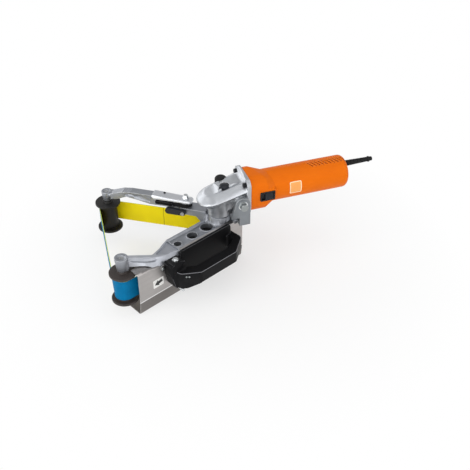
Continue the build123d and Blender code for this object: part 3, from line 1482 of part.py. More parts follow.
with BuildPart() as foot_screw:
    with BuildSketch(Plane.XY.offset(arm_base_z)):
        with Locations(flat(foot_at)):
            Circle(foot_screw_r)
    extrude(amount=bracket_bottom_z + foot_t - arm_base_z)
    with BuildSketch(Plane.XY.offset(bracket_bottom_z + foot_t)):
        with Locations(flat(foot_at)):
            Circle(foot_screw_head_r)
    extrude(amount=foot_screw_head_h)
foot_screw.part.label = "foot_screw"
export_step(foot_screw.part, "parts/foot_screw.step")

# Motor housing: a rounded square at the flange that shrinks into a round barrel behind a skewed shoulder
housing_in_r = barrel_out_r - barrel_wall
housing_floor_x = housing_end_x - barrel_wall
sleeve_z = motor_z + barrel_out_r - sleeve_drop
skew = radians(shoulder_skew)
switch_plane = Plane(origin=(switch_x, -housing_half, motor_z), x_dir=(1, 0, 0), z_dir=(0, -1, 0))


def shoulder_plane(x):
    return Plane(origin=(x, 0, motor_z), x_dir=(-sin(skew), cos(skew), 0), z_dir=(cos(skew), sin(skew), 0))


def vent_plane(x, turn):
    # Tangent to the barrel at an angle from the top, with local x slanted across it
    a = radians(turn)
    lean = radians(vent_slant)
    tangent = Vector(0, -cos(a), -sin(a)) * cos(lean) + Vector(1, 0, 0) * sin(lean)
    return Plane(origin=(x, -barrel_out_r * sin(a), motor_z + barrel_out_r * cos(a)), x_dir=tangent,
                 z_dir=(0, -sin(a), cos(a)))


with BuildPart() as housing_front:
    with BuildSketch(cross_x(flange_x)):
        with Locations((0, motor_z)):
            RectangleRounded(2 * housing_half, 2 * housing_half, housing_corner_r)
    extrude(amount=housing_end_x - flange_x)
    split(bisect_by=shoulder_plane(shoulder_x), keep=Keep.BOTTOM)
    fillet(faces().sort_by(Axis.X)[0].edges(), radius=housing_rim_r)

with BuildPart() as housing_barrel:
    with BuildSketch(cross_x(flange_x)):
        with Locations((0, motor_z)):
            RectangleRounded(2 * barrel_out_r, 2 * barrel_out_r, barrel_out_r - seat_gap)
    extrude(amount=housing_end_x - flange_x)
    split(bisect_by=shoulder_plane(shoulder_x + shoulder_run), keep=Keep.TOP)
    fillet(faces().sort_by(Axis.X)[-1].edges(), radius=housing_end_r)

shoulder_front = housing_front.faces().sort_by(Axis.X)[-1]
shoulder_rear = housing_barrel.faces().filter_by(Plane(shoulder_front)).sort_by(Axis.X)[0]
with BuildPart() as motor_housing:
    add(housing_front.part)
    add(housing_barrel.part)
    loft(sections=[shoulder_front, shoulder_rear], ruled=True)
    # Flat boss round the switch
    with BuildSketch(switch_plane):
        RectangleRounded(switch_len + 2 * switch_rim, switch_high + 2 * switch_rim, 2 * switch_rim)
    extrude(amount=housing_in_r - housing_half - 1.0, taper=-switch_boss_lean)
    with BuildSketch(motor_plane):
        with BuildLine():
            c = housing_end_r / 2
            Polyline((flange_x, 0), (flange_x, shield_r - 1.0), (shoulder_x, housing_in_r),
                     (housing_floor_x - c, housing_in_r), (housing_floor_x, housing_in_r - c), (housing_floor_x, 0),
                     (flange_x, 0))
        make_face()
    revolve(axis=motor_axis, mode=Mode.SUBTRACT)
    # Holes of the flange screws, window of the switch, hole of the cord sleeve
    with BuildSketch(cross_x(flange_x)):
        with Locations((0, motor_z)):
            with GridLocations(2 * flange_bolt, 2 * flange_bolt, 2, 2):
                Circle(flange_bolt_r)
    extrude(amount=flange_bolt_len - head_flange_t, mode=Mode.SUBTRACT)
    with BuildSketch(switch_plane):
        RectangleRounded(switch_len, switch_high, 2.0)
    extrude(amount=bezel_in + switch_body_d, both=True, mode=Mode.SUBTRACT)
    with BuildSketch(cross_x(housing_floor_x)):
        with Locations((0, sleeve_z)):
            Circle(sleeve_root_r)
    extrude(amount=barrel_wall, mode=Mode.SUBTRACT)
    # Slanted vents over the brushes, on top and below
    for x in vent_x:
        for i in range(vent_count):
            for turn in (vent_turn, vent_turn + 180):
                with BuildSketch(vent_plane(x + (i - (vent_count - 1) / 2) * vent_pitch, turn)):
                    SlotOverall(vent_len, vent_w)
                extrude(amount=barrel_wall * 2, both=True, mode=Mode.SUBTRACT)
motor_housing.part.label = "motor_housing"
export_step(motor_housing.part, "parts/motor_housing.step")

# Shield between gear head and motor, with the front bearing
shaft_gap = 1.5
with BuildPart() as bearing_shield:
    with BuildSketch(motor_plane):
        with BuildLine():
            hub_x = front_bearing_x - 2.0
            bore = shaft_r + shaft_gap
            Polyline((hub_x, bore), (hub_x, tunnel_r - 1.0), (shield_x, tunnel_r - 1.0), (shield_x, shield_r),
                     (flange_x, shield_r), (flange_x, front_bearing_r), (front_bearing_x, front_bearing_r),
                     (front_bearing_x, bore), (hub_x, bore))
        make_face()
    revolve(axis=motor_axis)
bearing_shield.part.label = "bearing_shield"
export_step(bearing_shield.part, "parts/bearing_shield.step")


def race_profile(inner, outer, start, width):
    c = 0.5
    Polyline((start, inner), (start, outer - c), (start + c, outer), (start + width - c, outer),
             (start + width, outer - c), (start + width, inner), (start, inner))


with BuildPart() as front_bearing:
    with BuildSketch(motor_plane):
        with BuildLine():
            race_profile(shaft_r, front_bearing_r - run_fit, front_bearing_x, front_bearing_w)
        make_face()
    revolve(axis=motor_axis)
front_bearing.part.label = "front_bearing"
export_step(front_bearing.part, "parts/front_bearing.step")

with BuildPart() as rear_bearing:
    with BuildSketch(motor_plane):
        with BuildLine():
            race_profile(shaft_rear_r, rear_bearing_r - run_fit, rear_bearing_x, rear_bearing_w)
        make_face()
    revolve(axis=motor_axis)
rear_bearing.part.label = "rear_bearing"
export_step(rear_bearing.part, "parts/rear_bearing.step")

# Armature: shaft, laminated core with slots, windings, commutator and fan
fan_r = housing_in_r - fan_gap
stator_r = housing_in_r - seat_gap
yoke_in = stator_r - yoke_t
stator_bore = yoke_in - pole_h
core_r = stator_bore - air_gap
winding_r = core_r - winding_inset
field_r = stator_bore + field_gap
commutator_end = commutator_x + commutator_len
rear_bearing_end = rear_bearing_x + rear_bearing_w
stator_end = stator_x + stator_len
with BuildPart() as armature_shaft:
    with BuildSketch(motor_plane):
        with BuildLine():
            front = pinion_out_x + pinion_hub
            tail = rear_bearing_end + shaft_gap
            Polyline((front, 0), (front, shaft_r), (commutator_end, shaft_r), (commutator_end, shaft_rear_r),
                     (tail, shaft_rear_r), (tail, 0), (front, 0))
        make_face()
    revolve(axis=motor_axis)
armature_shaft.part.label = "armature_shaft"
export_step(armature_shaft.part, "parts/armature_shaft.step")

with BuildPart() as fan:
    with BuildSketch(cross_x(fan_x)):
        with Locations((0, motor_z)):
            Circle(fan_r)
            Circle(shaft_r, mode=Mode.SUBTRACT)
    extrude(amount=fan_plate_t)
    with BuildSketch(cross_x(fan_x)):
        with Locations((0, motor_z)):
            Circle(fan_hub_r)
            with PolarLocations((fan_hub_r + fan_r) / 2 - 0.5, fan_blades):
                Rectangle(fan_r - fan_hub_r + 1.0, fan_plate_t)
            Circle(shaft_r, mode=Mode.SUBTRACT)
    extrude(amount=fan_t)
fan.part.label = "fan"
export_step(fan.part, "parts/fan.step")

with BuildPart() as armature_core:
    with BuildSketch(cross_x(stator_x)):
        with Locations((0, motor_z)):
            Circle(core_r)
            with PolarLocations(core_r, core_slots):
                Rectangle(2 * core_slot_h, core_slot_w, mode=Mode.SUBTRACT)
            Circle(shaft_r, mode=Mode.SUBTRACT)
    extrude(amount=stator_len)
armature_core.part.label = "armature_core"
export_step(armature_core.part, "parts/armature_core.step")

with BuildPart() as armature_windings:
    for x in (stator_x - winding_len, stator_end):
        with BuildSketch(cross_x(x)):
            with Locations((0, motor_z)):
                Circle(winding_r)
                Circle(shaft_r + part_gap, mode=Mode.SUBTRACT)
        extrude(amount=winding_len)
    with BuildSketch(cross_x(stator_x)):
        with Locations((0, motor_z)):
            with PolarLocations((core_r - core_slot_h + winding_r) / 2, core_slots):
                Rectangle(winding_r - core_r + core_slot_h - 0.4, core_slot_w - 2 * seat_gap)
    extrude(amount=stator_len)
armature_windings.part.label = "armature_windings"
export_step(armature_windings.part, "parts/armature_windings.step")

with BuildPart() as commutator:
    with BuildSketch(cross_x(commutator_x)):
        with Locations((0, motor_z)):
            Circle(commutator_r)
            Circle(shaft_r, mode=Mode.SUBTRACT)
    extrude(amount=commutator_len)
commutator.part.label = "commutator"
export_step(commutator.part, "parts/commutator.step")

# Field: a laminated yoke with two poles, and a coil round each pole
with BuildPart() as stator:
    with BuildSketch(cross_x(stator_x)):
        with Locations((0, motor_z)):
            Circle(yoke_in)
            Rectangle(2 * pole_half, 2 * stator_r, mode=Mode.INTERSECT)
    with BuildSketch(cross_x(stator_x)):
        with Locations((0, motor_z)):
            Circle(stator_r)
            Circle(yoke_in - 0.1, mode=Mode.SUBTRACT)
    extrude(amount=stator_len)
    with BuildSketch(cross_x(stator_x)):
        with Locations((0, motor_z)):
            Circle(stator_bore)
    extrude(amount=stator_len, mode=Mode.SUBTRACT)
stator.part.label = "stator"
export_step(stator.part, "parts/stator.step")

with BuildPart() as field_coils:
    with BuildSketch(cross_x(stator_x - field_end)):
        with Locations((0, motor_z)):
            Circle(yoke_in - part_gap)
            Circle(field_r, mode=Mode.SUBTRACT)
            Rectangle(2 * yoke_in, 1.0, mode=Mode.SUBTRACT)
    extrude(amount=stator_len + 2 * field_end)
    with BuildSketch(cross_x(stator_x)):
        with Locations((0, motor_z)):
            Rectangle(2 * (pole_half + part_gap), 2 * stator_r)
    extrude(amount=stator_len, mode=Mode.SUBTRACT)
field_coils.part.label = "field_coils"
export_step(field_coils.part, "parts/field_coils.step")

# Brush carrier with the rear bearing seat, holders, brushes and their springs
brush_x = commutator_x + commutator_len / 2
brush_in = commutator_r + part_gap
holder_in = brush_in + 2.0
holder_out = housing_in_r - holder_gap
brush_out = holder_out - brush_spring_len
holder_half_x = brush_h / 2 + brush_holder_wall
holder_half_z = brush_w / 2 + brush_holder_wall
carrier_x = rear_bearing_x - 2 * carrier_t
bearing_seat_r = rear_bearing_r + carrier_wall
with BuildPart() as brush_carrier:
    with BuildSketch(motor_plane):
        with BuildLine():
            rim = housing_in_r - seat_gap
            bore = shaft_rear_r + shaft_gap
            Polyline((carrier_x, bore), (carrier_x, rim), (carrier_x + carrier_t, rim),
                     (carrier_x + carrier_t, bearing_seat_r), (rear_bearing_end, bearing_seat_r),
                     (rear_bearing_end, rear_bearing_r), (rear_bearing_x, rear_bearing_r), (rear_bearing_x, bore),
                     (carrier_x, bore))
        make_face()
    revolve(axis=motor_axis)
    # Pads that carry the brush holders, and openings for the air
    with BuildSketch(cross_x(carrier_x)):
        with Locations((0, motor_z)):
            with PolarLocations((holder_in + holder_out) / 2, 2):
                Rectangle(holder_out - holder_in, 2 * holder_half_z)
    extrude(amount=brush_x + holder_half_x - carrier_x)
    with BuildSketch(cross_x(carrier_x)):
        with Locations((0, motor_z)):
            with PolarLocations((bearing_seat_r + rim) / 2, carrier_spokes, start_angle=45):
                Circle(carrier_t)
    extrude(amount=carrier_t, mode=Mode.SUBTRACT)
brush_carrier.part.label = "brush_carrier"
export_step(brush_carrier.part, "parts/brush_carrier.step")

with BuildPart() as brush_holders:
    for side in (1, -1):
        with BuildSketch(Plane(origin=(brush_x, side * holder_in, motor_z), x_dir=(1, 0, 0), z_dir=(0, side, 0))):
            Rectangle(2 * holder_half_x, 2 * holder_half_z)
        extrude(amount=holder_out - holder_in)
        with BuildSketch(Plane(origin=(brush_x, side * holder_in, motor_z), x_dir=(1, 0, 0), z_dir=(0, side, 0))):
            Rectangle(brush_h + 2 * seat_gap, brush_w + 2 * seat_gap)
        extrude(amount=holder_out - holder_in - 1.0, mode=Mode.SUBTRACT)
brush_holders.part.label = "brush_holders"
export_step(brush_holders.part, "parts/brush_holders.step")

with BuildPart() as carbon_brushes:
    for side in (1, -1):
        with BuildSketch(Plane(origin=(brush_x, side * brush_in, motor_z), x_dir=(1, 0, 0), z_dir=(0, side, 0))):
            Rectangle(brush_h, brush_w)
        extrude(amount=brush_out - brush_in)
carbon_brushes.part.label = "carbon_brushes"
export_step(carbon_brushes.part, "parts/carbon_brushes.step")

with BuildPart() as brush_springs:
    for side in (1, -1):
        with BuildSketch(Plane(origin=(brush_x, side * brush_out, motor_z), x_dir=(1, 0, 0), z_dir=(0, side, 0))):
            Circle(brush_h / 2)
        extrude(amount=brush_spring_len - 1.0)
brush_springs.part.label = "brush_springs"
export_step(brush_springs.part, "parts/brush_springs.step")

# Slide switch in the flare's near side
switch_open_len = switch_len - 2 * switch_wall
switch_open_high = switch_high - 2 * switch_wall
slide_high = switch_open_high - 2 * part_gap
with BuildPart() as switch_bezel:
    with BuildSketch(switch_plane.offset(-bezel_in)):
        RectangleRounded(switch_len - 2 * seat_gap, switch_high - 2 * seat_gap, 2.0 - seat_gap)
        Rectangle(switch_open_len, switch_open_high, mode=Mode.SUBTRACT)
    extrude(amount=bezel_in + bezel_out)
switch_bezel.part.label = "switch_bezel"
export_step(switch_bezel.part, "parts/switch_bezel.step")

with BuildPart() as switch_slide:
    with BuildSketch(switch_plane.offset(part_gap - bezel_in)):
        with Locations((slide_travel / 2, 0)):
            Rectangle(slide_len, slide_high)
    extrude(amount=bezel_in + bezel_out - part_gap)
    with BuildSketch(switch_plane.offset(bezel_out)):
        with Locations((slide_travel / 2, 0)):
            with GridLocations(slide_len / slide_ribs, 0, slide_ribs, 1):
                Rectangle(slide_len / slide_ribs / 2, slide_high - 2.0)
    extrude(amount=slide_rib_h)
switch_slide.part.label = "switch_slide"
export_step(switch_slide.part, "parts/switch_slide.step")

with BuildPart() as switch_body:
    with BuildSketch(switch_plane.offset(-bezel_in)):
        Rectangle(switch_body_len, switch_body_high)
    extrude(amount=-switch_body_d)
switch_body.part.label = "switch_body"
export_step(switch_body.part, "parts/switch_body.step")

# Speed control, a potted block in the lower half of the barrel's end
with BuildPart() as electronics_module:
    with BuildSketch(cross_x(module_x)):
        with Locations((0, motor_z)):
            Circle(housing_in_r - seat_gap)
        with Locations((0, motor_z + barrel_out_r - module_drop)):
            Rectangle(4 * barrel_out_r, 2 * barrel_out_r, mode=Mode.SUBTRACT)
    extrude(amount=module_len)
electronics_module.part.label = "electronics_module"
export_step(electronics_module.part, "parts/electronics_module.step")

# Cord sleeve: ringed rubber, held by a flange behind the housing's end wall
sleeve_plane = Plane(origin=(0, 0, sleeve_z), x_dir=(1, 0, 0), z_dir=(0, -1, 0))
sleeve_axis = Axis((0, 0, sleeve_z), (1, 0, 0))
sleeve_end = housing_end_x + sleeve_len
with BuildPart() as cord_sleeve:
    with BuildSketch(sleeve_plane):
        with BuildLine():
            flange_back = housing_floor_x - sleeve_flange_t
            bead_x = sleeve_end - sleeve_bead_len
            Polyline((flange_back, cord_r), (flange_back, sleeve_flange_r), (housing_floor_x, sleeve_flange_r),
                     (housing_floor_x, sleeve_root_r), (housing_end_x, sleeve_root_r), (bead_x, sleeve_tip_r))
            bead_mid = ((bead_x + sleeve_end) / 2, sleeve_bead_r)
            ThreePointArc((bead_x, sleeve_tip_r), bead_mid, (sleeve_end, sleeve_tip_r))
            Polyline((sleeve_end, sleeve_tip_r), (sleeve_end + sleeve_nib_len, sleeve_tip_r - 0.5),
                     (sleeve_end + sleeve_nib_len, cord_r), (flange_back, cord_r))
        make_face()
    revolve(axis=sleeve_axis)
    # Grooves that let the sleeve bend
    groove_run = sleeve_len - sleeve_bead_len - 6.0
    for i in range(sleeve_rings):
        x = housing_end_x + 4.0 + groove_run * i / (sleeve_rings - 1)
        groove_r = sleeve_root_r + (sleeve_tip_r - sleeve_root_r) * (x - housing_end_x) / (bead_x - housing_end_x)
        with BuildSketch(cross_x(x)):
            with Locations((0, sleeve_z)):
                Circle(sleeve_root_r + 1.0)
                Circle(groove_r - sleeve_ring_h, mode=Mode.SUBTRACT)
        extrude(amount=sleeve_ring_w, mode=Mode.SUBTRACT)
cord_sleeve.part.label = "cord_sleeve"
export_step(cord_sleeve.part, "parts/cord_sleeve.step")
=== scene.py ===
import json
from math import cos, degrees, pi, radians, sin, sqrt

import bmesh
import bpy
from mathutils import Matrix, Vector

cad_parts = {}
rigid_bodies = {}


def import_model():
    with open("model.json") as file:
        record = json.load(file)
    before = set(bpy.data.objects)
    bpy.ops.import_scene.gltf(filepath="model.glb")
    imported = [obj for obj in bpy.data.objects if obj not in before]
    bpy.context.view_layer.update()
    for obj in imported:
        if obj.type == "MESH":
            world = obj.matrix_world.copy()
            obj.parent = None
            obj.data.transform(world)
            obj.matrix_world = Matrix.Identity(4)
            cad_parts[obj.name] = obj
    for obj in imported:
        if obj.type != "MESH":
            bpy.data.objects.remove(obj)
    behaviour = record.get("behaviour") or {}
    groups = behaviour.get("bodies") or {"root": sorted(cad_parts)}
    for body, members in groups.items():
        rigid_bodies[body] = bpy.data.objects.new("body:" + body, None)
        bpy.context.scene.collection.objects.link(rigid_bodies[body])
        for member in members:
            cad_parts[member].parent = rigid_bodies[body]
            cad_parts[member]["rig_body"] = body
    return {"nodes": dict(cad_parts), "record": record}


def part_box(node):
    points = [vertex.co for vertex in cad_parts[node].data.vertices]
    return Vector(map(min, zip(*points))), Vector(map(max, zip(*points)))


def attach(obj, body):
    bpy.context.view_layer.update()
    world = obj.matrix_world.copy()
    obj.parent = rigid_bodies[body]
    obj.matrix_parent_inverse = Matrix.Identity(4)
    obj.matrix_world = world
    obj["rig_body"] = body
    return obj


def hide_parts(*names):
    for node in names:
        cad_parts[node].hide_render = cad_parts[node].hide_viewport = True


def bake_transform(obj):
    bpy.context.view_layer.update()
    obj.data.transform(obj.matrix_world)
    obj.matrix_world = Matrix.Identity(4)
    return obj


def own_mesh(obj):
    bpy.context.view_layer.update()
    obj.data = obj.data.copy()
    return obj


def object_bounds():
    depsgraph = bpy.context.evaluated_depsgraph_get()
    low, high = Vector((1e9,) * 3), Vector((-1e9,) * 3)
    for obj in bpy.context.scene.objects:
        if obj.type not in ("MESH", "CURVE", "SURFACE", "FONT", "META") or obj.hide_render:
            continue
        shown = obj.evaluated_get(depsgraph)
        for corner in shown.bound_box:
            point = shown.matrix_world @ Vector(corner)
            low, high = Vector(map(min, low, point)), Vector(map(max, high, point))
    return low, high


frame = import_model()
cad_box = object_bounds()
nodes = frame["nodes"]
scene = bpy.context.scene

# A pipe sander in the studio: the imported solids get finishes, soft edges, screw heads, the belt and a label.
# Sizes are written in millimetres and turned to metres where they meet a mesh.
MM = 0.001

# Places that the frame is laid out by
near_angle = radians(24.5)
far_angle = radians(33.7)
arm_length = 217.0
pivot_s = 62.0
guard_face = 30.0
sheet_thickness = 1.5

# Angle in degrees past which an edge of a solid counts as sharp, and its segments when rounded
sharp_angle = 32.0
edge_segments = 2

# Points closer than these are one, in solids and in lofts, and so are faces that turn by less than an angle
solid_weld = 0.002
loft_weld = 0.01
flat_angle = 0.4

# Rays that look for an edge, and the cosines between which it turns from plain to rubbed with a painted
# highlight
edge_rays = 8
edge_turn = (0.99, 0.75)

# Sides of round heads, rods, hexagons, wires and thread crests, and steps in a turn of thread, coil or bend
round_sides = 48
rod_sides = 24
hexagon_sides = 6
wire_sides = 8
crest_sides = 4
thread_steps = 20
coil_steps = 24
bend_steps = 8

# Angles in degrees up to which grown pieces are shaded smooth
screw_smooth = 25.0
sweep_smooth = 40.0
bead_smooth = 60.0

# Belt, the wheels that it runs on, where it bends with the tension arm, and the least that a face looks out
pulley_r = 20.0
roller_r = 16.0
belt_gap = 0.3
belt_thickness = 1.2
belt_step = 2.0
belt_splice = 158.8
splice_width = 1.4
belt_face_least = 2.0

# Crease that the guard's lip hangs from
crease_z = 27.6
crease_width = 1.5

# Label with the running direction on the guard
label_s = (156.5, 178.7)
label_z = (42.0, 59.0)
label_corner = 1.5
label_thickness = 0.12
arrow_length = 17.0
arrow_head = 8.5
arrow_width = 12.5
arrow_shaft = 6.2
arrow_tilt = radians(-14.0)
arrow_thickness = 1.4 * label_thickness

# Cast neck that carries the near roller, as (along the arm, size) corners: its plan, its top and its foot
neck_s = (112.5, 209.0)
neck_steps = 97
neck_ridge = ((111.5, 26.5), (121.0, 19.0), (131.0, 17.5), (157.0, 19.5), (209.0, 2.2))
neck_inner = ((111.5, -14.8), (128.5, -8.0), (161.5, 9.7), (209.0, -7.5))
neck_foot = ((111.5, 28.0), (173.0, 28.0), (181.0, 22.5), (190.5, 15.5), (209.0, 4.0))
neck_foot_least = 4.0
neck_top_z = ((111.5, 86.9), (135.0, 87.2), (205.0, 109.0), (209.0, 109.0))
neck_foot_z = ((111.5, 80.0), (162.0, 80.4), (175.0, 85.4), (181.0, 89.6), (190.0, 90.6), (209.0, 92.0))
neck_round = 3.0

# Hollows in the neck's sides and the pocket in its top
hollow_s = (160.0, 204.5)
hollow_z = ((112.5, 78.8), (160.0, 91.6), (209.0, 104.6))
hollow_half = 3.3
hollow_round = 7.0
hollow_depth = 3.0
hollow_draft = 1.0
pocket_end = 154.0
pocket_round = 9.0
pocket_rim = 3.2
pocket_depth = 2.9
pocket_draft = 1.0

# Room for the neck that is cut out of the fork, up to the boss of the near roller
neck_cut_s = 112.6
neck_cut_t = 40.0
neck_cut_z = (70.0, 120.0)
near_boss_r = 11.45
boss_step = 6

# Folded top of the guard under the neck, as (along the arm, up) corners, and its sides
guard_flange = ((162.0, 81.0), (186.0, 86.9), (198.0, 86.9), (198.0, 88.6), (185.6, 88.6), (162.0, 82.6))
guard_flange_t = (8.0, 29.5)

# Rib of the gear head between its bell and the motor flange, as (along, up) corners, and its sides
bell_rib = ((19.0, 90.0), (31.0, 90.0), (47.0, 112.0), (47.0, 150.0), (19.0, 145.0))
bell_rib_y = (1.0, 10.0)

# Catch under the tension arm that the release lever bears on, as (along the arm, up) corners, and its sides
lever_catch = ((74.4, 101.5), (74.4, 94.5), (90.0, 93.5), (98.0, 101.5))
lever_catch_u = (-5.0, 5.0)

# Black strip under the tension cover, round the arm's pivot and along its inner side, standing for the shade
# there: painted shade
shade_strip_r = (9.5, 11.5)
shade_strip_z = (105.0, 113.6)
shade_strip_arc = (-60, 90)
shade_strip_step = 10
shade_strip_end = 84.0
shade_strip_end_u = (6.5, 9.6)

# Holes through the near arm and their dished floors, black as painted shade
hole_s = (34.0, 69.0, 103.0)
hole_t = (4.0, 5.0, 6.0)
hole_r = (11.5, 9.5, 7.0)
hole_floor_z = (74.0, 75.5)
hole_floor_rim = 0.8
hole_floor_share = 0.9
hole_floor_gap = 0.1

# Motor barrel and the bare badge on its side
barrel_r = 30.0
barrel_z = 139.4
barrel_facet = 3
badge_x = (124.5, 147.0)
badge_angle = (62.0, 107.0)
badge_corner = 2.5
badge_border = 1.6
badge_thickness = 0.12

# Screws, each as its head (radius, height, chamfer), shank (radius, length) and socket (radius, depth)
flange_screw = ((4.25, 5.0, 0.5), (2.5, 15.0), (2.4, 2.6))
foot_screw = ((5.0, 3.5, 0.5), (3.0, 18.0), (2.9, 2.0))
handle_screw = ((4.2, 2.6, 0.8), (2.5, 5.5), (1.9, 1.4))
handle_nut = ((10.0 / sqrt(3), 4.0, 0.7), (3.0, 1.0), None)
handle_bolt = ((10.0 / sqrt(3), 4.0, 0.7), (3.0, 56.0), None)
side_bolt = ((13.0 / sqrt(3), 8.0, 0.9), (4.0, 21.6), None)
cover_screw = ((2.4, 1.4, 0.6), (1.2, 2.0), (1.2, 0.8))
guard_screw = ((3.4, 2.4, 0.8), (1.5, 1.4), (1.6, 1.2))
bow_screw = ((1.6, 0.9, 0.4), (0.8, 2.0), (0.8, 0.5))

# Places of the screws that aren't read from a solid's box: along, out or in, and up
handle_screw_s = (23.0, 103.0)
handle_screw_z = (48.75, 72.25)
cover_screw_at = (104.0, -5.0, 120.0)
guard_screw_at = (156.6, guard_face, 74.6)
bow_screws_at = ((134.4, 65.2, 64.8), (130.5, 67.9, 64.2))

# Stud through the guard's lip; the depth and the crest of its thread are shares of the pitch
stud_s = 135.0
stud_z = 30.5
stud_r = 2.8
stud_out = 27.0
stud_pitch = 1.0
stud_depth_share = 0.5
stud_crest_share = 0.45
stud_nut_corner = 8.0 / sqrt(3)
stud_nut_height = 4.0

# Spring under the spindle lock's button
lock_spring_r = 4.6
lock_wire_r = 0.5
lock_wire_gap = 0.05
lock_turns = 6

# Line that the moulding tool left on the bow's upper edge, pale as a painted highlight, as corners in the near
# arm's plan
bow_line = ((-4.0, 40.0), (-4.0, 55.0), (32.0, 80.0), (113.0, 80.0), (142.0, 60.0), (146.0, 42.0))
bow_top_z = 72.25
bow_edge_r = 2.0
bow_bend_r = 10.0
bow_line_r = 0.55

# Studio: how bright the room, its walls and its ceiling are, and where the floor fades to white
room_level = 0.38
wall_rise = (0.20, 0.60)
ceiling_level = 0.40
floor_half = 6000.0
floor_gap = 0.2
floor_fade = (100.0, 460.0)
floor_white = (0.55, 1.0)

# Softboxes as name, place, width in metres and watts, all turned to the middle of the tool
softbox_target = (0.0, 0.0, 80.0)
softboxes = (
    ("key_softbox", (-600.0, -1600.0, 1000.0), 2.0, 17.0),
    ("fill_softbox", (1500.0, -900.0, 1000.0), 2.0, 11.0),
    ("left_softbox", (-1700.0, -500.0, 700.0), 1.4, 14.0),
    ("back_softbox", (-1000.0, 1400.0, 800.0), 1.4, 9.0),
    ("top_softbox", (200.0, 100.0, 2000.0), 1.6, 7.0),
)

# Camera of the photograph
camera_at = (-326.5, -1035.6, 873.2)
camera_target = (30.7, 0.0, 39.9)
camera_lens = 56.47
camera_sensor = 36.0
camera_reach = 50000.0

near_dir = Vector((-cos(near_angle), -sin(near_angle), 0))
near_out = Vector((sin(near_angle), -cos(near_angle), 0))
far_dir = Vector((-cos(far_angle), sin(far_angle), 0))
far_in = Vector((-sin(far_angle), -cos(far_angle), 0))
up = Vector((0, 0, 1))
near_roller_axis = near_dir * arm_length * MM
far_roller_axis = far_dir * arm_length * MM


def near_point(s, t, z):
    """A place on the near arm's side: along the arm, out from it and up, in metres."""
    return (near_dir * s + near_out * t + up * z) * MM


def far_point(s, u, z):
    """A place on the tension arm: along the arm, in from it and up, in metres."""
    return (far_dir * s + far_in * u + up * z) * MM


def linear(code):
    """An sRGB hex value as a linear colour."""
    parts = [int(code[i:i + 2], 16) / 255 for i in (1, 3, 5)]
    return tuple(p / 12.92 if p <= 0.04045 else ((p + 0.055) / 1.055) ** 2.4 for p in parts) + (1.0,)


def per_size(size):
    """The scale of a pattern whose features are size millimetres."""
    return 1 / (size * MM)


# Some sockets go by their place. Mix: 0 is the share, 6 and 7 are its colours, 2 and 3 its values, and its
# colour comes out at 2. Map range: 0 is the value, 1 and 2 the range it is read in, 3 and 4 what it gives.
def fill(tree, node, inputs):
    """Sets a node's inputs: each is a value, the socket that it is linked from, or a list of such sockets."""
    for key, value in inputs.items():
        if isinstance(value, list):
            for source in value:
                tree.links.new(source, node.inputs[key])
        elif isinstance(value, bpy.types.NodeSocket):
            tree.links.new(value, node.inputs[key])
        else:
            node.inputs[key].default_value = value


def add(tree, kind, inputs=None, out=0, **settings):
    """Adds a node with its settings and inputs, and gives the output that the next node is linked from."""
    node = tree.nodes.new(kind)
    for name, value in settings.items():
        setattr(node, name, value)
    fill(tree, node, inputs or {})
    return node.outputs[out] if len(node.outputs) else None


def new_finish(name, **sockets):
    """A material with one Principled shader, whose constant sockets are set here."""
    material = bpy.data.materials.new(name)
    material.use_nodes = True
    tree = material.node_tree
    shader = tree.nodes["Principled BSDF"]
    fill(tree, shader, {key.replace("_", " "): value for key, value in sockets.items()})
    where = add(tree, "ShaderNodeTexCoord", out="Object")
    return material, tree, shader, where


def edge_light(tree, radius):
    """Rounds the shading of sharp edges; gives the rounded normal and how much of an edge a point is."""
    rounded = add(tree, "ShaderNodeBevel", {"Radius": radius * MM}, samples=edge_rays)
    flat = add(tree, "ShaderNodeNewGeometry", out="Normal")
    same = add(tree, "ShaderNodeVectorMath", {0: rounded, 1: flat}, out="Value", operation="DOT_PRODUCT")
    return rounded, add(tree, "ShaderNodeMapRange", {0: same, 1: edge_turn[0], 2: edge_turn[1]})


def mottled(tree, where, size, detail, dark, light):
    """Soft clouds of a size in millimetres, and the tone between two colours that follows them."""
    cloud = add(tree, "ShaderNodeTexNoise", {"Vector": where, "Scale": per_size(size), "Detail": detail})
    tone = add(tree, "ShaderNodeMix", {0: cloud, 6: linear(dark), 7: linear(light)}, out=2, data_type="RGBA")
    return cloud, tone


def line_share(tree, measure, line, width, most=1.0):
    """How much of a thin line a point is, from 0 at its width to most on the line itself."""
    apart = add(tree, "ShaderNodeMath", {0: measure, 1: line * MM}, operation="SUBTRACT")
    apart = add(tree, "ShaderNodeMath", {0: apart}, operation="ABSOLUTE")
    return add(tree, "ShaderNodeMapRange", {0: apart, 1: width * MM, 2: 0.0, 4: most})


def die_cast_aluminium(name, dark, light, wear_and_highlight, roughness):
    # Die cast skin: satin silver that clouds where the metal met the die, a faint pebble, and edges rubbed
    # bright with a painted highlight
    material, tree, shader, where = new_finish(name, Metallic=0.85)
    rounded, edge = edge_light(tree, 0.9)
    cloud, tone = mottled(tree, where, 16.0, 5.0, dark, light)
    wear_and_highlit = add(tree, "ShaderNodeMix", {0: edge, 6: tone, 7: linear(wear_and_highlight)}, out=2, data_type="RGBA")
    polish = add(tree, "ShaderNodeMapRange", {0: cloud, 3: roughness + 0.08, 4: roughness - 0.06})
    pebble = add(tree, "ShaderNodeTexNoise", {"Vector": where, "Scale": per_size(0.9), "Detail": 3.0})
    skin = add(tree, "ShaderNodeBump", {
        "Height": pebble, "Strength": 0.25, "Distance": 0.06 * MM, "Normal": rounded})
    fill(tree, shader, {"Base Color": wear_and_highlit, "Roughness": polish, "Normal": skin})
    return material


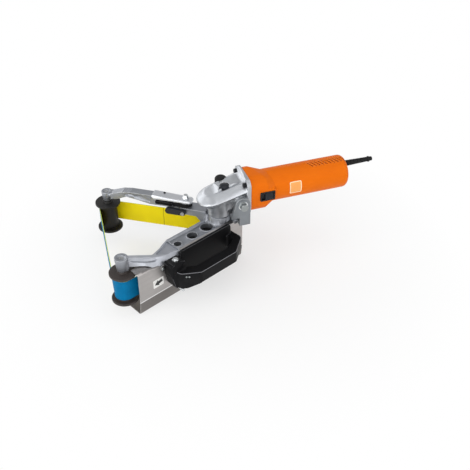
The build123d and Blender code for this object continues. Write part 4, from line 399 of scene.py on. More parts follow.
def moulded_plastic(name, dark, light, wear_and_highlight, roughness, grain, gloss, edge_width=0.7):
    # Moulded polymer: an even colour with a slight flow shade, a fine eroded grain and edges rubbed paler with
    # a painted highlight
    material, tree, shader, where = new_finish(name, IOR=1.53, Specular_IOR_Level=gloss)
    rounded, edge = edge_light(tree, edge_width)
    _, tone = mottled(tree, where, 40.0, 2.0, dark, light)
    wear_and_highlit = add(tree, "ShaderNodeMix", {0: edge, 6: tone, 7: linear(wear_and_highlight)}, out=2, data_type="RGBA")
    speck = add(tree, "ShaderNodeTexNoise", {"Vector": where, "Scale": per_size(grain), "Detail": 2.0})
    dull = add(tree, "ShaderNodeMapRange", {0: speck, 3: roughness - 0.08, 4: roughness + 0.08})
    skin = add(tree, "ShaderNodeBump", {
        "Height": speck, "Strength": 0.3, "Distance": 0.05 * MM, "Normal": rounded})
    fill(tree, shader, {"Base Color": wear_and_highlit, "Roughness": dull, "Normal": skin})
    return material


def brushed_sheet(name, dark, light, lip_painted_shade, wear_and_highlight):
    # Brushed sheet steel: hairlines along the arm, drawn about four times as coarse as real ones, a painted
    # highlight along the crease and painted shade on the lip below it, which faces down
    material, tree, shader, where = new_finish(name, Metallic=1.0, Anisotropic=0.4)
    turned = add(tree, "ShaderNodeMapping", {"Vector": where, "Rotation": (0, 0, -near_angle)})
    along = add(tree, "ShaderNodeMapping", {"Vector": turned, "Scale": (0.012, 1.0, 1.0)})
    hair = add(tree, "ShaderNodeTexNoise", {"Vector": along, "Scale": per_size(0.8), "Detail": 4.0})
    cloud = add(tree, "ShaderNodeTexNoise", {"Vector": where, "Scale": per_size(45.0), "Detail": 3.0})
    both = add(tree, "ShaderNodeMath", {0: hair, 1: cloud, 2: 0.1}, operation="MULTIPLY_ADD")
    tone = add(tree, "ShaderNodeMix", {0: both, 6: linear(dark), 7: linear(light)}, out=2, data_type="RGBA")
    height = add(tree, "ShaderNodeSeparateXYZ", {0: where}, out="Z")
    # Painted shade on the lip below the crease, and a painted highlight along the crease
    below = add(tree, "ShaderNodeMapRange", {0: height, 1: crease_z * MM, 2: (crease_z - crease_width) * MM})
    lip_shaded = add(tree, "ShaderNodeMix", {0: below, 6: tone, 7: linear(lip_painted_shade)}, out=2, data_type="RGBA",
                  blend_type="MULTIPLY")
    ridge = line_share(tree, height, crease_z, crease_width)
    wear_and_highlit = add(tree, "ShaderNodeMix", {0: ridge, 6: lip_shaded, 7: linear(wear_and_highlight)}, out=2, data_type="RGBA")
    polish = add(tree, "ShaderNodeMapRange", {0: hair, 3: 0.30, 4: 0.48})
    skin = add(tree, "ShaderNodeBump", {"Height": hair, "Strength": 0.2, "Distance": 0.04 * MM})
    fill(tree, shader, {"Base Color": wear_and_highlit, "Roughness": polish, "Normal": skin})
    return material


def turned_steel(name, dark, light, roughness, metallic=1.0):
    # Turned or plated steel: bright, with a fine haze of handling marks
    material, tree, shader, where = new_finish(name, Metallic=metallic)
    haze, tone = mottled(tree, where, 5.0, 5.0, dark, light)
    polish = add(tree, "ShaderNodeMapRange", {0: haze, 3: roughness - 0.06, 4: roughness + 0.1})
    fill(tree, shader, {"Base Color": tone, "Roughness": polish})
    return material


def turned_roller(name, dark, light, axis):
    # Turned polyamide: rings round the roller's own axis that the lathe tool left
    material, tree, shader, where = new_finish(name, IOR=1.53, Specular_IOR_Level=0.3)
    centred = add(tree, "ShaderNodeMapping", {"Vector": where, "Location": (-axis.x, -axis.y, 0)})
    rings = add(tree, "ShaderNodeTexWave", {
        "Vector": centred, "Scale": per_size(9.0), "Distortion": 0.4}, out=1, wave_type="RINGS",
        rings_direction="Z")
    dust, tone = mottled(tree, where, 6.0, 5.0, dark, light)
    dull = add(tree, "ShaderNodeMapRange", {0: dust, 3: 0.42, 4: 0.62})
    skin = add(tree, "ShaderNodeBump", {"Height": rings, "Strength": 0.15, "Distance": 0.1 * MM})
    fill(tree, shader, {"Base Color": tone, "Roughness": dull, "Normal": skin})
    return material


def abrasive_grit(name, dark, light):
    # Ceramic grit in resin: sharp grains with pale tips, drawn about three times as coarse as real grit
    material, tree, shader, where = new_finish(name, Roughness=0.62, IOR=1.6, Specular_IOR_Level=0.06)
    grains = add(tree, "ShaderNodeTexVoronoi", {"Vector": where, "Scale": per_size(0.9)}, out="Distance")
    patch = add(tree, "ShaderNodeTexNoise", {"Vector": where, "Scale": per_size(12.0), "Detail": 4.0})
    depth = add(tree, "ShaderNodeMix", {0: 0.35, 2: patch, 3: grains}, data_type="FLOAT")
    tone = add(tree, "ShaderNodeMix", {0: depth, 6: linear(dark), 7: linear(light)}, out=2, data_type="RGBA")
    skin = add(tree, "ShaderNodeBump", {"Height": grains, "Strength": 0.5, "Distance": 0.2 * MM})
    fill(tree, shader, {"Base Color": tone, "Normal": skin})
    return material


def woven_backing(name, dark, light, glue):
    # Resin filled polyester cloth: a plain weave under a thin glaze, threads twice as coarse as real ones,
    # and the dark line of glue where the loop is spliced
    material, tree, shader, where = new_finish(name, Roughness=0.5, Specular_IOR_Level=0.2)
    along = add(tree, "ShaderNodeAttribute", out="Fac", attribute_name="along")
    height = add(tree, "ShaderNodeSeparateXYZ", {0: where}, out="Z")
    thread = per_size(1.2) * 2 * pi
    warp = add(tree, "ShaderNodeMath", {0: along, 1: thread}, operation="MULTIPLY")
    weft = add(tree, "ShaderNodeMath", {0: height, 1: thread}, operation="MULTIPLY")
    warp_wave = add(tree, "ShaderNodeMath", {0: warp}, operation="SINE")
    weft_wave = add(tree, "ShaderNodeMath", {0: weft}, operation="SINE")
    weave = add(tree, "ShaderNodeMath", {0: warp_wave, 1: weft_wave}, operation="MULTIPLY")
    cloud = add(tree, "ShaderNodeTexNoise", {"Vector": where, "Scale": per_size(18.0), "Detail": 4.0})
    crown = add(tree, "ShaderNodeMapRange", {0: weave, 1: -1.0, 2: 1.0})
    both = add(tree, "ShaderNodeMix", {0: 0.3, 2: cloud, 3: crown}, data_type="FLOAT")
    tone = add(tree, "ShaderNodeMix", {0: both, 6: linear(dark), 7: linear(light)}, out=2, data_type="RGBA")
    seam = line_share(tree, along, belt_splice, splice_width, most=0.8)
    joined = add(tree, "ShaderNodeMix", {0: seam, 6: tone, 7: linear(glue)}, out=2, data_type="RGBA")
    skin = add(tree, "ShaderNodeBump", {"Height": weave, "Strength": 0.25, "Distance": 0.08 * MM})
    fill(tree, shader, {"Base Color": joined, "Normal": skin})
    return material


def printed_vinyl(name, dark, light):
    # Printed vinyl film: smooth, with a slight mottle from the adhesive below
    material, tree, shader, where = new_finish(name, Roughness=0.35, IOR=1.5)
    _, tone = mottled(tree, where, 3.0, 3.0, dark, light)
    fill(tree, shader, {"Base Color": tone})
    return material


def laid_windings(name, dark, light, pitch):
    # Enamelled copper laid in turns: a ripple at the pitch of the wire, glossy from the varnish
    material, tree, shader, where = new_finish(name, Metallic=0.9, Roughness=0.3, Coat_Weight=0.5)
    turns = add(tree, "ShaderNodeTexWave", {"Vector": where, "Scale": per_size(pitch * 6.0)}, out=1,
                bands_direction="X")
    tone = add(tree, "ShaderNodeMix", {0: turns, 6: linear(dark), 7: linear(light)}, out=2, data_type="RGBA")
    skin = add(tree, "ShaderNodeBump", {"Height": turns, "Strength": 0.4, "Distance": 0.2 * MM})
    fill(tree, shader, {"Base Color": tone, "Normal": skin})
    return material


# Copies of one die cast finish: arms and bracket darker as painted shade, neck and cover lighter as painted
# light
cast = die_cast_aluminium("aluminium_die_cast", "#a8abb0", "#c4c7cb", "#ebecee", 0.40)
arm_cast = die_cast_aluminium("aluminium_die_cast_painted_shade", "#8a8d93", "#a6a9af", "#e2e4e7", 0.42)
neck_cast = die_cast_aluminium("aluminium_die_cast_painted_light", "#a0a3aa", "#bdc0c7", "#eceef1", 0.38)
bracket_cast = die_cast_aluminium("aluminium_die_cast_painted_deep_shade", "#7a7e81", "#91959a", "#d8dadc", 0.46)
cover_cast = die_cast_aluminium("aluminium_die_cast_painted_bright_light", "#c4c7cc", "#dfe1e5", "#f4f5f6", 0.36)
# Third colour: painted shade on the lip below the crease; fourth: painted highlight along the crease
sheet = brushed_sheet("steel_sheet_brushed", "#9c9896", "#d6d2d0", "#b2b0ae", "#ffffff")
sheet_edge = turned_steel("steel_sheet_sheared_edge", "#c9c7c4", "#e6e5e3", 0.3)
# Each moulded finish's fourth colour lies on its edges: wear with a painted highlight, cream on the housing's
# rim
orange = moulded_plastic(
    "polyamide_orange_moulded", "#e16700", "#ea7304", "#f8b070", 0.46, 0.7, 0.1, edge_width=0.8)
black = moulded_plastic(
    "polyamide_black_moulded", "#09090b", "#101012", "#76767a", 0.46, 0.6, 0.1, edge_width=1.5)
# Its dark blue tint stands for a bluish reflection: painted reflection
switch_black = moulded_plastic("polyamide_black_switch", "#0a0d12", "#151b26", "#2c323c", 0.32, 0.5, 0.35)
lever_grey = moulded_plastic("polyamide_grey_moulded", "#1c1e22", "#292c31", "#7a7d84", 0.42, 0.6, 0.3)
rubber = moulded_plastic("rubber_black_moulded", "#0d0d0e", "#161617", "#242425", 0.62, 0.8, 0.22)
# Pale grey for the bow's tool line: painted highlight
highlight_grey = moulded_plastic("polyamide_black_painted_highlight", "#6c6c70", "#88888c", "#98989c", 0.5, 0.6, 0.16)
# The far roller's copy is darker than the near roller's: painted shade
near_turned = turned_roller("polyamide_turned_near_roller", "#2b2624", "#3d3633", near_roller_axis)
far_turned = turned_roller("polyamide_turned_far_roller", "#11100f", "#1c1a19", far_roller_axis)
zinc = turned_steel("steel_zinc_plated", "#cfd2d4", "#e9ebec", 0.22)
# A darker copy of the zinc plating: painted shade
shaded_zinc = turned_steel("steel_zinc_plated_painted_shade", "#84898a", "#b0b4b3", 0.28)
ground = turned_steel("steel_ground", "#a9abad", "#c8cacb", 0.26)
oxide = turned_steel("steel_black_oxide", "#17181a", "#26272a", 0.38, metallic=0.7)
spring_wire = turned_steel("spring_steel_drawn", "#6c6d70", "#8c8d90", 0.34)
laminated = turned_steel("electrical_steel_laminated", "#55575b", "#77797d", 0.45)
copper = laid_windings("copper_enamelled_wound", "#8d4420", "#c77843", 0.8)
brass = turned_steel("brass_pressed", "#a9853a", "#d0ad5c", 0.3)
carbon = turned_steel("carbon_pressed", "#1c1c1e", "#2c2c2e", 0.55, metallic=0.1)
inner_plastic = moulded_plastic(
    "polyamide_glass_filled_moulded", "#232427", "#303135", "#4a4b50", 0.55, 0.8, 0.3)
grit = abrasive_grit("ceramic_grit_blue", "#00527c", "#007cae")
backing = woven_backing("polyester_backing_yellow", "#efd600", "#ffee08", "#8f8412")
belt_edge = moulded_plastic("polyester_backing_cut_edge", "#b4cb2c", "#d3e05a", "#dbe66e", 0.6, 0.8, 0.3)
label_white = printed_vinyl("vinyl_white_printed", "#e9e7e3", "#f6f5f2")
badge_cream = printed_vinyl("vinyl_cream_printed", "#ffdcae", "#ffe8c8")
badge_bare = printed_vinyl("vinyl_pale_orange_printed", "#f4a04c", "#f8ae62")
label_black = printed_vinyl("vinyl_black_printed", "#111112", "#1c1c1d")

slot_finish = {
    "abrasive_belt": backing, "die_cast": cast, "sheet_steel": sheet, "housing_plastic": orange,
    "black_plastic": black, "button_plastic": switch_black, "rubber": rubber, "steel": ground,
    "zinc_plate": zinc, "black_oxide": oxide, "spring_steel": spring_wire, "lamination": laminated,
    "copper": copper, "brass": brass, "carbon": carbon, "inner_plastic": inner_plastic,
}
node_slot = {row["node"]: row["material_slot"] for row in frame["record"]["subparts"]}
for node_name, node in nodes.items():
    node.data.materials.clear()
    node.data.materials.append(slot_finish[node_slot[node_name]])


def place(name, mesh, body, slot, *stood_for):
    """Puts a finished mesh in the scene on its body, in the place of the solids that it stands for."""
    piece = bpy.data.objects.new(name, mesh)
    scene.collection.objects.link(piece)
    if body:
        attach(piece, body)
    if stood_for:
        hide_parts(*stood_for)
    return piece


def shade(mesh, angle):
    """Smooth shading, but for edges that turn by more than an angle in degrees."""
    mesh.shade_smooth()
    mesh.set_sharp_from_angle(angle=radians(angle))


def close_mesh(bm, name, finish=None, angle=None):
    """Turns the faces outwards and keeps the shape as a mesh, with its finish and its shading."""
    bmesh.ops.recalc_face_normals(bm, faces=bm.faces)
    mesh = bpy.data.meshes.new(name)
    bm.to_mesh(mesh)
    bm.free()
    if finish:
        mesh.materials.append(finish)
    if angle:
        shade(mesh, angle)
    return mesh


def loft(name, shapes, finish=None, angle=None):
    """A mesh of closed shapes, each through its matching outlines in metres and capped at both ends."""
    bm = bmesh.new()
    for outlines in shapes:
        rings = [[bm.verts.new(point) for point in outline] for outline in outlines]
        for one, two in zip(rings, rings[1:]):
            for i in range(len(one)):
                j = (i + 1) % len(one)
                bm.faces.new((one[i], one[j], two[j], two[i]))
        bm.faces.new(rings[0])
        bm.faces.new(rings[-1])
    bmesh.ops.remove_doubles(bm, verts=bm.verts, dist=loft_weld * MM)
    return close_mesh(bm, name, finish, angle)


def soften(name, edge, finish, edge_finish=None, cut_out=None):
    """A merged, smooth copy of a solid, less a cut out, with sharp edges rounded by edge millimetres."""
    bm = bmesh.new()
    bm.from_mesh(nodes[name].data)
    bmesh.ops.remove_doubles(bm, verts=bm.verts, dist=solid_weld * MM)
    if edge:
        bmesh.ops.dissolve_limit(bm, angle_limit=radians(flat_angle), verts=bm.verts, edges=bm.edges)
    mesh = bpy.data.meshes.new(name + "_soft")
    bm.to_mesh(mesh)
    bm.free()
    mesh.materials.clear()
    mesh.materials.append(finish)
    mesh.materials.append(edge_finish or finish)
    draft = bpy.data.objects.new(name + "_draft", mesh)
    scene.collection.objects.link(draft)
    if cut_out:
        cutter = bpy.data.objects.new(name + "_cutter", cut_out)
        scene.collection.objects.link(cutter)
        cut = draft.modifiers.new("cut", "BOOLEAN")
        cut.object = cutter
        cut.operation = "DIFFERENCE"
        cut.solver = "EXACT"
    shade(mesh, sharp_angle)
    if edge == 0:
        level = draft.modifiers.new("flat_faces", "WEIGHTED_NORMAL")
        level.keep_sharp = True
    else:
        bevel = draft.modifiers.new("edges", "BEVEL")
        bevel.width = edge * MM
        bevel.segments = edge_segments
        bevel.limit_method = "ANGLE"
        bevel.angle_limit = radians(sharp_angle)
        bevel.use_clamp_overlap = False
        bevel.harden_normals = True
        bevel.material = 1
    made = bpy.data.meshes.new_from_object(draft.evaluated_get(bpy.context.evaluated_depsgraph_get()))
    bpy.data.objects.remove(draft)
    if cut_out:
        bpy.data.objects.remove(cutter)
    place(name + "_soft", made, nodes[name]["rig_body"], node_slot[name], name)


boss_turns = [radians(a) for a in range(0, 181, boss_step)]
boss_side = [(arm_length - near_boss_r * sin(a), -near_boss_r * cos(a)) for a in boss_turns]
neck_plan = [(neck_cut_s, -neck_cut_t), (arm_length, -neck_cut_t), *boss_side,
             (arm_length, neck_cut_t), (neck_cut_s, neck_cut_t)]
neck_room = loft("neck_room", [[[near_point(s, t, z) for s, t in neck_plan] for z in neck_cut_z]])

# Solids that carry a soft edge; one of 0 has many small faces, and its finish alone rounds them for the eye
soft_solids = (
    ("gear_head", 0.0, cast), ("tension_arm", 0.0, arm_cast), ("tension_cover", 0.0, cover_cast),
    ("side_bracket", 0.0, bracket_cast), ("fork", 0.0, arm_cast, arm_cast, neck_room),
    ("motor_housing", 0.0, orange), ("bow_handle", 0.0, black), ("guard", 0.2, sheet, sheet_edge),
    ("near_roller", 0.4, near_turned), ("far_roller", 0.4, far_turned), ("release_lever", 0.6, lever_grey),
    ("spring_box", 0.4, black), ("switch_bezel", 0.3, black), ("switch_slide", 0.2, switch_black),
    ("lock_button", 0.3, switch_black), ("plug", 0.4, rubber), ("cord_sleeve", 0.15, rubber),
    ("pivot_pin", 0.3, zinc),
)
for soft_solid in soft_solids:
    soften(*soft_solid)


def new_tree(name, sizes):
    """An empty node tree with its sizes as named inputs; gives the tree and its input sockets."""
    tree = bpy.data.node_groups.new(name, "GeometryNodeTree")
    tree.interface.new_socket("Geometry", in_out="INPUT", socket_type="NodeSocketGeometry")
    tree.interface.new_socket("Geometry", in_out="OUTPUT", socket_type="NodeSocketGeometry")
    for label, kind in sizes.items():
        tree.interface.new_socket(label, in_out="INPUT", socket_type="NodeSocket" + kind)
    return tree, add(tree, "NodeGroupInput").node.outputs


def stand(tree, given, piece):
    """Stands a piece on each given point, turned to the given axis."""
    turn = add(tree, "FunctionNodeAlignRotationToVector", {"Vector": given["Axis"]}, axis="Z")
    return add(tree, "GeometryNodeInstanceOnPoints", {
        "Points": given["Geometry"], "Instance": piece, "Rotation": turn})


def end_tree(tree, geometry, finish):
    """Ends a tree with real geometry in its finish."""
    real = add(tree, "GeometryNodeRealizeInstances", {0: geometry})
    dressed = add(tree, "GeometryNodeSetMaterial", {"Geometry": real, "Material": finish})
    add(tree, "NodeGroupOutput", {0: dressed})
    return tree


def grow(tree, name, points, edges, values, angle):
    """Runs a node tree on a few points and keeps the result as a plain mesh, smooth up to an angle."""
    seed_mesh = bpy.data.meshes.new(name + "_seed")
    seed_mesh.from_pydata([tuple(p) for p in points], edges, [])
    seed = bpy.data.objects.new(name + "_seed", seed_mesh)
    scene.collection.objects.link(seed)
    modifier = seed.modifiers.new("grow", "NODES")
    modifier.node_group = tree
    for item in tree.interface.items_tree:
        if item.in_out == "INPUT" and item.name in values:
            modifier[item.identifier] = values[item.name]
    made = bpy.data.meshes.new_from_object(seed.evaluated_get(bpy.context.evaluated_depsgraph_get()))
    seed.modifiers.remove(modifier)
    bpy.data.objects.remove(seed)
    made.name = name
    shade(made, angle)
    return made


def screw_tree():
    """Screws on points: a chamfered head of any number of sides, a hexagon socket if asked, and a shank."""
    tree, given = new_tree("screws", {
        "Sides": "Int", "Head radius": "Float", "Head height": "Float", "Chamfer": "Float",
        "Socket radius": "Float", "Socket depth": "Float", "Shank radius": "Float", "Shank length": "Float",
        "Has socket": "Bool", "Axis": "Vector", "Finish": "Material"})
    head_r, head_h = given["Head radius"], given["Head height"]
    rim = add(tree, "ShaderNodeMath", {0: head_r, 1: given["Chamfer"]}, operation="SUBTRACT")
    wide = add(tree, "ShaderNodeMath", {0: rim, 1: head_h}, operation="ADD")
    prism = add(tree, "GeometryNodeMeshCone", {
        "Vertices": given["Sides"], "Radius Top": head_r, "Radius Bottom": head_r, "Depth": head_h})
    cone = add(tree, "GeometryNodeMeshCone", {
        "Vertices": round_sides, "Radius Top": rim, "Radius Bottom": wide, "Depth": head_h})
    head = add(tree, "GeometryNodeMeshBoolean", {"Mesh 2": [prism, cone]}, operation="INTERSECT",
               solver="EXACT")
    floor = add(tree, "ShaderNodeMath", {0: head_h, 1: given["Socket depth"]}, operation="SUBTRACT")
    key = add(tree, "GeometryNodeMeshCone", {
        "Vertices": hexagon_sides, "Radius Top": given["Socket radius"],
        "Radius Bottom": given["Socket radius"], "Depth": head_h})
    lift = add(tree, "ShaderNodeCombineXYZ", {"Z": floor})
    key_up = add(tree, "GeometryNodeTransform", {"Geometry": key, "Translation": lift})
    cut = add(tree, "GeometryNodeMeshBoolean", {"Mesh 1": head, "Mesh 2": [key_up]}, operation="DIFFERENCE",
              solver="EXACT")
    either = add(tree, "GeometryNodeSwitch", {"Switch": given["Has socket"], "False": head, "True": cut},
                 input_type="GEOMETRY")
    stem = add(tree, "GeometryNodeMeshCone", {
        "Vertices": rod_sides, "Radius Top": given["Shank radius"], "Radius Bottom": given["Shank radius"],
        "Depth": given["Shank length"]})
    sink = add(tree, "ShaderNodeMath", {0: given["Shank length"], 1: -1.0}, operation="MULTIPLY")
    down = add(tree, "ShaderNodeCombineXYZ", {"Z": sink})
    stem_down = add(tree, "GeometryNodeTransform", {"Geometry": stem, "Translation": down})
    screw = add(tree, "GeometryNodeJoinGeometry", {0: [either, stem_down]})
    return end_tree(tree, stand(tree, given, screw), given["Finish"])


screws = screw_tree()


def fit_screws(name, points, axis, sizes, finish, body, slot, *stood_for, sides=round_sides):
    """Screws with their head, shank and socket sizes on points, along an axis."""
    (head_r, head_h, chamfer), (shank_r, shank_length), socket = sizes
    socket_r, socket_depth = socket or (head_r / 2, head_h / 2)
    values = {
        "Sides": sides, "Head radius": head_r * MM, "Head height": head_h * MM, "Chamfer": chamfer * MM,
        "Shank radius": shank_r * MM, "Shank length": shank_length * MM, "Has socket": socket is not None,
        "Socket radius": socket_r * MM, "Socket depth": socket_depth * MM, "Axis": tuple(axis),
        "Finish": finish}
    place(name, grow(screws, name, points, [], values, screw_smooth), body, slot, *stood_for)


def box_middle(name):
    """The middle of a solid's box, and its lowest and highest corners."""
    low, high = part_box(name)
    return (low + high) / 2, low, high


head_r, head_h, _ = flange_screw[0]
flange_low, flange_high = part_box("flange_bolts")
flange_points = [
    Vector((flange_low.x + head_h * MM, y, z))
    for y in (flange_low.y + head_r * MM, flange_high.y - head_r * MM)
    for z in (flange_low.z + head_r * MM, flange_high.z - head_r * MM)]
fit_screws("flange_cap_screws", flange_points, (-1, 0, 0), flange_screw, oxide, "frame", "black_oxide",
           "flange_bolts")

foot_at, _, foot_high = box_middle("foot_screw")
foot_at.z = foot_high.z - foot_screw[0][1] * MM
fit_screws("foot_cap_screw", [foot_at], up, foot_screw, oxide, "frame", "black_oxide", "foot_screw")

handle_points = [
    near_point(s, guard_face - sheet_thickness, z) for s in handle_screw_s for z in handle_screw_z]
fit_screws("handle_pan_screws", handle_points, near_out * -1, handle_screw, oxide, "frame", "black_oxide",
           "handle_screws")

nut_at, nut_low, _ = box_middle("handle_nut")
nut_at.z = nut_low.z
bolt_head_at = nut_at.copy()
bolt_head_at.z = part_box("handle_bolt")[0].z + handle_bolt[0][1] * MM
fit_screws("handle_hex_nut", [nut_at], up, handle_nut, zinc, "frame", "zinc_plate", "handle_nut",
           sides=hexagon_sides)
fit_screws("handle_hex_bolt", [bolt_head_at], up * -1, handle_bolt, zinc, "frame", "zinc_plate",
           "handle_bolt", sides=hexagon_sides)

side_at, side_low, _ = box_middle("side_bolt")
side_at.y = side_low.y + side_bolt[0][1] * MM
fit_screws("side_hex_bolt", [side_at], (0, -1, 0), side_bolt, shaded_zinc, "frame", "zinc_plate", "side_bolt",
           sides=hexagon_sides)

fit_screws("cover_button_screw", [far_point(*cover_screw_at)], up, cover_screw, oxide, "swing_arm",
           "black_oxide")
fit_screws("guard_button_screw", [near_point(*guard_screw_at)], near_out, guard_screw, shaded_zinc, "frame",
           "zinc_plate")

(slope_s, slope_t), (slope_end_s, slope_end_t) = bow_line[3:5]
bow_slope = (near_dir * (slope_t - slope_end_t) + near_out * (slope_end_s - slope_s)).normalized()
fit_screws("bow_button_screws", [near_point(*at) for at in bow_screws_at], bow_slope, bow_screw, shaded_zinc,
           "frame", "zinc_plate")


def loop_points(offset):
    """Points of the belt's loop round the three wheels, evenly stepped along its runs and wraps."""
    wheels = [(Vector((0, 0)), pulley_r + offset), ((far_dir * arm_length).to_2d(), roller_r + offset),
              ((near_dir * arm_length).to_2d(), roller_r + offset)]
    leaves = []
    for (one, one_r), (two, two_r) in zip(wheels, wheels[1:] + wheels[:1]):
        run = (two - one).normalized()
        lean = (one_r - two_r) / (two - one).length
        normal = Vector((run.y, -run.x)) * sqrt(1 - lean * lean) + run * lean
        leaves.append((normal, one + normal * one_r, two + normal * two_r))
    points = []
    for i, (centre, r) in enumerate(wheels):
        come, go = leaves[i - 1][0], leaves[i][0]
        sweep = come.angle_signed(go)
        count = max(2, round(abs(sweep) * r / belt_step))
        for k in range(count):
            a = -sweep * k / count
            spoke = Vector((come.x * cos(a) - come.y * sin(a), come.x * sin(a) + come.y * cos(a)))
            points.append(centre + spoke * r)
        start, end = leaves[i][1], leaves[i][2]
        count = round((end - start).length / belt_step)
        points += [start.lerp(end, k / count) for k in range(count)]
    return points


def belt_tree():
    """A band swept along a closed loop: cloth on its inner face, grit on the outer, and cut edges between."""
    tree, given = new_tree("belt", {
        "Belt width": "Float", "Belt thickness": "Float", "Loop centre": "Vector"})
    curve = add(tree, "GeometryNodeMeshToCurve", {0: given["Geometry"]})
    length = add(tree, "GeometryNodeSplineParameter", out="Length")
    marked = add(tree, "GeometryNodeStoreNamedAttribute", {
        "Geometry": curve, "Name": "along", "Value": length}, data_type="FLOAT", domain="POINT")
    upright = add(tree, "GeometryNodeSetCurveNormal", {"Curve": marked}, mode="Z_UP")
    section = add(tree, "GeometryNodeCurvePrimitiveQuadrilateral", {
        "Width": given["Belt thickness"], "Height": given["Belt width"]}, mode="RECTANGLE")
    band = add(tree, "GeometryNodeCurveToMesh", {"Curve": upright, "Profile Curve": section})
    normal = add(tree, "GeometryNodeInputNormal")
    spot = add(tree, "GeometryNodeInputPosition")
    away = add(tree, "ShaderNodeVectorMath", {0: spot, 1: given["Loop centre"]}, operation="SUBTRACT")
    level = add(tree, "ShaderNodeVectorMath", {0: away, 1: (1, 1, 0)}, operation="MULTIPLY")
    facing = add(tree, "ShaderNodeVectorMath", {0: normal, 1: level}, out="Value", operation="DOT_PRODUCT")
    least = belt_face_least * MM
    outer = add(tree, "FunctionNodeCompare", {0: facing, 1: least}, operation="GREATER_THAN")
    inner = add(tree, "FunctionNodeCompare", {0: facing, 1: -least}, operation="LESS_THAN")
    real = add(tree, "GeometryNodeRealizeInstances", {0: band})
    edged = add(tree, "GeometryNodeSetMaterial", {"Geometry": real, "Material": belt_edge})
    gritted = add(tree, "GeometryNodeSetMaterial", {
        "Geometry": edged, "Selection": outer, "Material": grit})
    backed = add(tree, "GeometryNodeSetMaterial", {
        "Geometry": gritted, "Selection": inner, "Material": backing})
    add(tree, "NodeGroupOutput", {0: backed})
    return tree


belt_middle, belt_low, belt_high = box_middle("belt")
ring = [Vector((p.x * MM, p.y * MM, belt_middle.z)) for p in loop_points(belt_gap + belt_thickness / 2)]
ring_edges = [(i, (i + 1) % len(ring)) for i in range(len(ring))]
belt_mesh = grow(belt_tree(), "belt_band", ring, ring_edges, {
    "Belt width": belt_high.z - belt_low.z, "Belt thickness": belt_thickness * MM,
    "Loop centre": tuple(sum(ring, Vector()) / len(ring))}, sweep_smooth)
belt_piece = place("belt_band", belt_mesh, None, "abrasive_belt", "belt")
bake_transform(belt_piece)


def rounded_rectangle(low, high, r, steps=6):
    """The outline of a rectangle between two corners, with its corners rounded."""
    centres = [(high[0] - r, high[1] - r), (low[0] + r, high[1] - r),
               (low[0] + r, low[1] + r), (high[0] - r, low[1] + r)]
    turns = [(centre, radians(90 * (q + k / steps)))
             for q, centre in enumerate(centres) for k in range(steps + 1)]
    return [(centre[0] + r * cos(a), centre[1] + r * sin(a)) for centre, a in turns]


def film(name, outline, thickness, finish, slot):
    """A printed film on the guard's face, from an outline in (along, up) millimetres."""
    sides = [[near_point(s, guard_face + lift, z) for s, z in outline] for lift in (0.0, thickness)]
    place(name, loft(name, [sides], finish), "frame", slot)


label_outline = rounded_rectangle((label_s[0], label_z[0]), (label_s[1], label_z[1]), label_corner)
film("direction_label", label_outline, label_thickness, label_white, "housing_plastic")

tip, barb, tail = arrow_length / 2, arrow_length / 2 - arrow_head, -arrow_length / 2
head_half, shaft_half = arrow_width / 2, arrow_shaft / 2
arrow = [(tip, 0), (barb, head_half), (barb, shaft_half), (tail, shaft_half),
         (tail, -shaft_half), (barb, -shaft_half), (barb, -head_half)]
label_middle = (sum(label_s) / 2, sum(label_z) / 2)
arrow_outline = [
    (label_middle[0] + a * cos(arrow_tilt) - b * sin(arrow_tilt),
     label_middle[1] + a * sin(arrow_tilt) + b * cos(arrow_tilt)) for a, b in arrow]
film("direction_arrow", arrow_outline, arrow_thickness, label_black, "black_plastic")


def along_corners(corners, s):
    """The value at s on a line through corners, rounded at each corner over neck_round to both sides."""

    def straight(x):
        for (s0, v0), (s1, v1) in zip(corners, corners[1:]):
            if x <= s1 or s1 == corners[-1][0]:
                return v0 + (v1 - v0) * (x - s0) / (s1 - s0)

    return sum(straight(s + neck_round * k) for k in (-1, -0.5, 0, 0.5, 1)) / 5


def round_end(gap, r):
    """How far a hollow has opened, from 0 to 1, at a distance from its rounded end."""
    return sqrt(1 - max(0.0, 1 - max(0.0, gap) / r) ** 2)


def neck_section(s):
    """The neck's cross section as (out, up) points: outer side, top and inner side, each with its hollow."""
    top, low = along_corners(neck_top_z, s), along_corners(neck_foot_z, s)
    ridge, inner, foot = (along_corners(line, s) for line in (neck_ridge, neck_inner, neck_foot))
    inner_foot = min(inner, foot - neck_foot_least)
    middle = along_corners(hollow_z, s)
    open_share = round_end(min(s - hollow_s[0], hollow_s[1] - s), hollow_round)
    opening, depth = hollow_half * open_share, hollow_depth * min(1.0, 2 * open_share)
    bed = max(0.0, opening - hollow_draft)

    def side(low_t, high_t, way):
        points = [(middle - opening, 0.0), (middle - bed, depth),
                  (middle + bed, depth), (middle + opening, 0.0)]
        return [(low_t + (high_t - low_t) * (z - low) / (top - low) - way * d, z) for z, d in points]

    pocket = round_end(pocket_end - s, pocket_round)
    centre = (ridge + inner) / 2
    wide = max(0.0, (ridge - inner) / 2 - pocket_rim) * pocket
    dip = pocket_depth * min(1.0, 2 * pocket)
    bed_wide = max(0.0, wide - pocket_draft)
    crown = [(centre + wide, top), (centre + bed_wide, top - dip),
             (centre - bed_wide, top - dip), (centre - wide, top)]
    return ([(foot, low)] + side(foot, ridge, 1) + [(ridge, top)] + crown
            + [(inner, top)] + side(inner_foot, inner, -1)[::-1] + [(inner_foot, low)])


# Cast neck between the arm and the boss: an I section lofted along the arm
stations = [neck_s[0] + (neck_s[1] - neck_s[0]) * k / neck_steps for k in range(neck_steps + 1)]
neck_rings = [[near_point(s, t, z) for t, z in neck_section(s)] for s in stations]
place("neck_beam", loft("neck_beam", [neck_rings], neck_cast, sharp_angle), "frame", "die_cast")

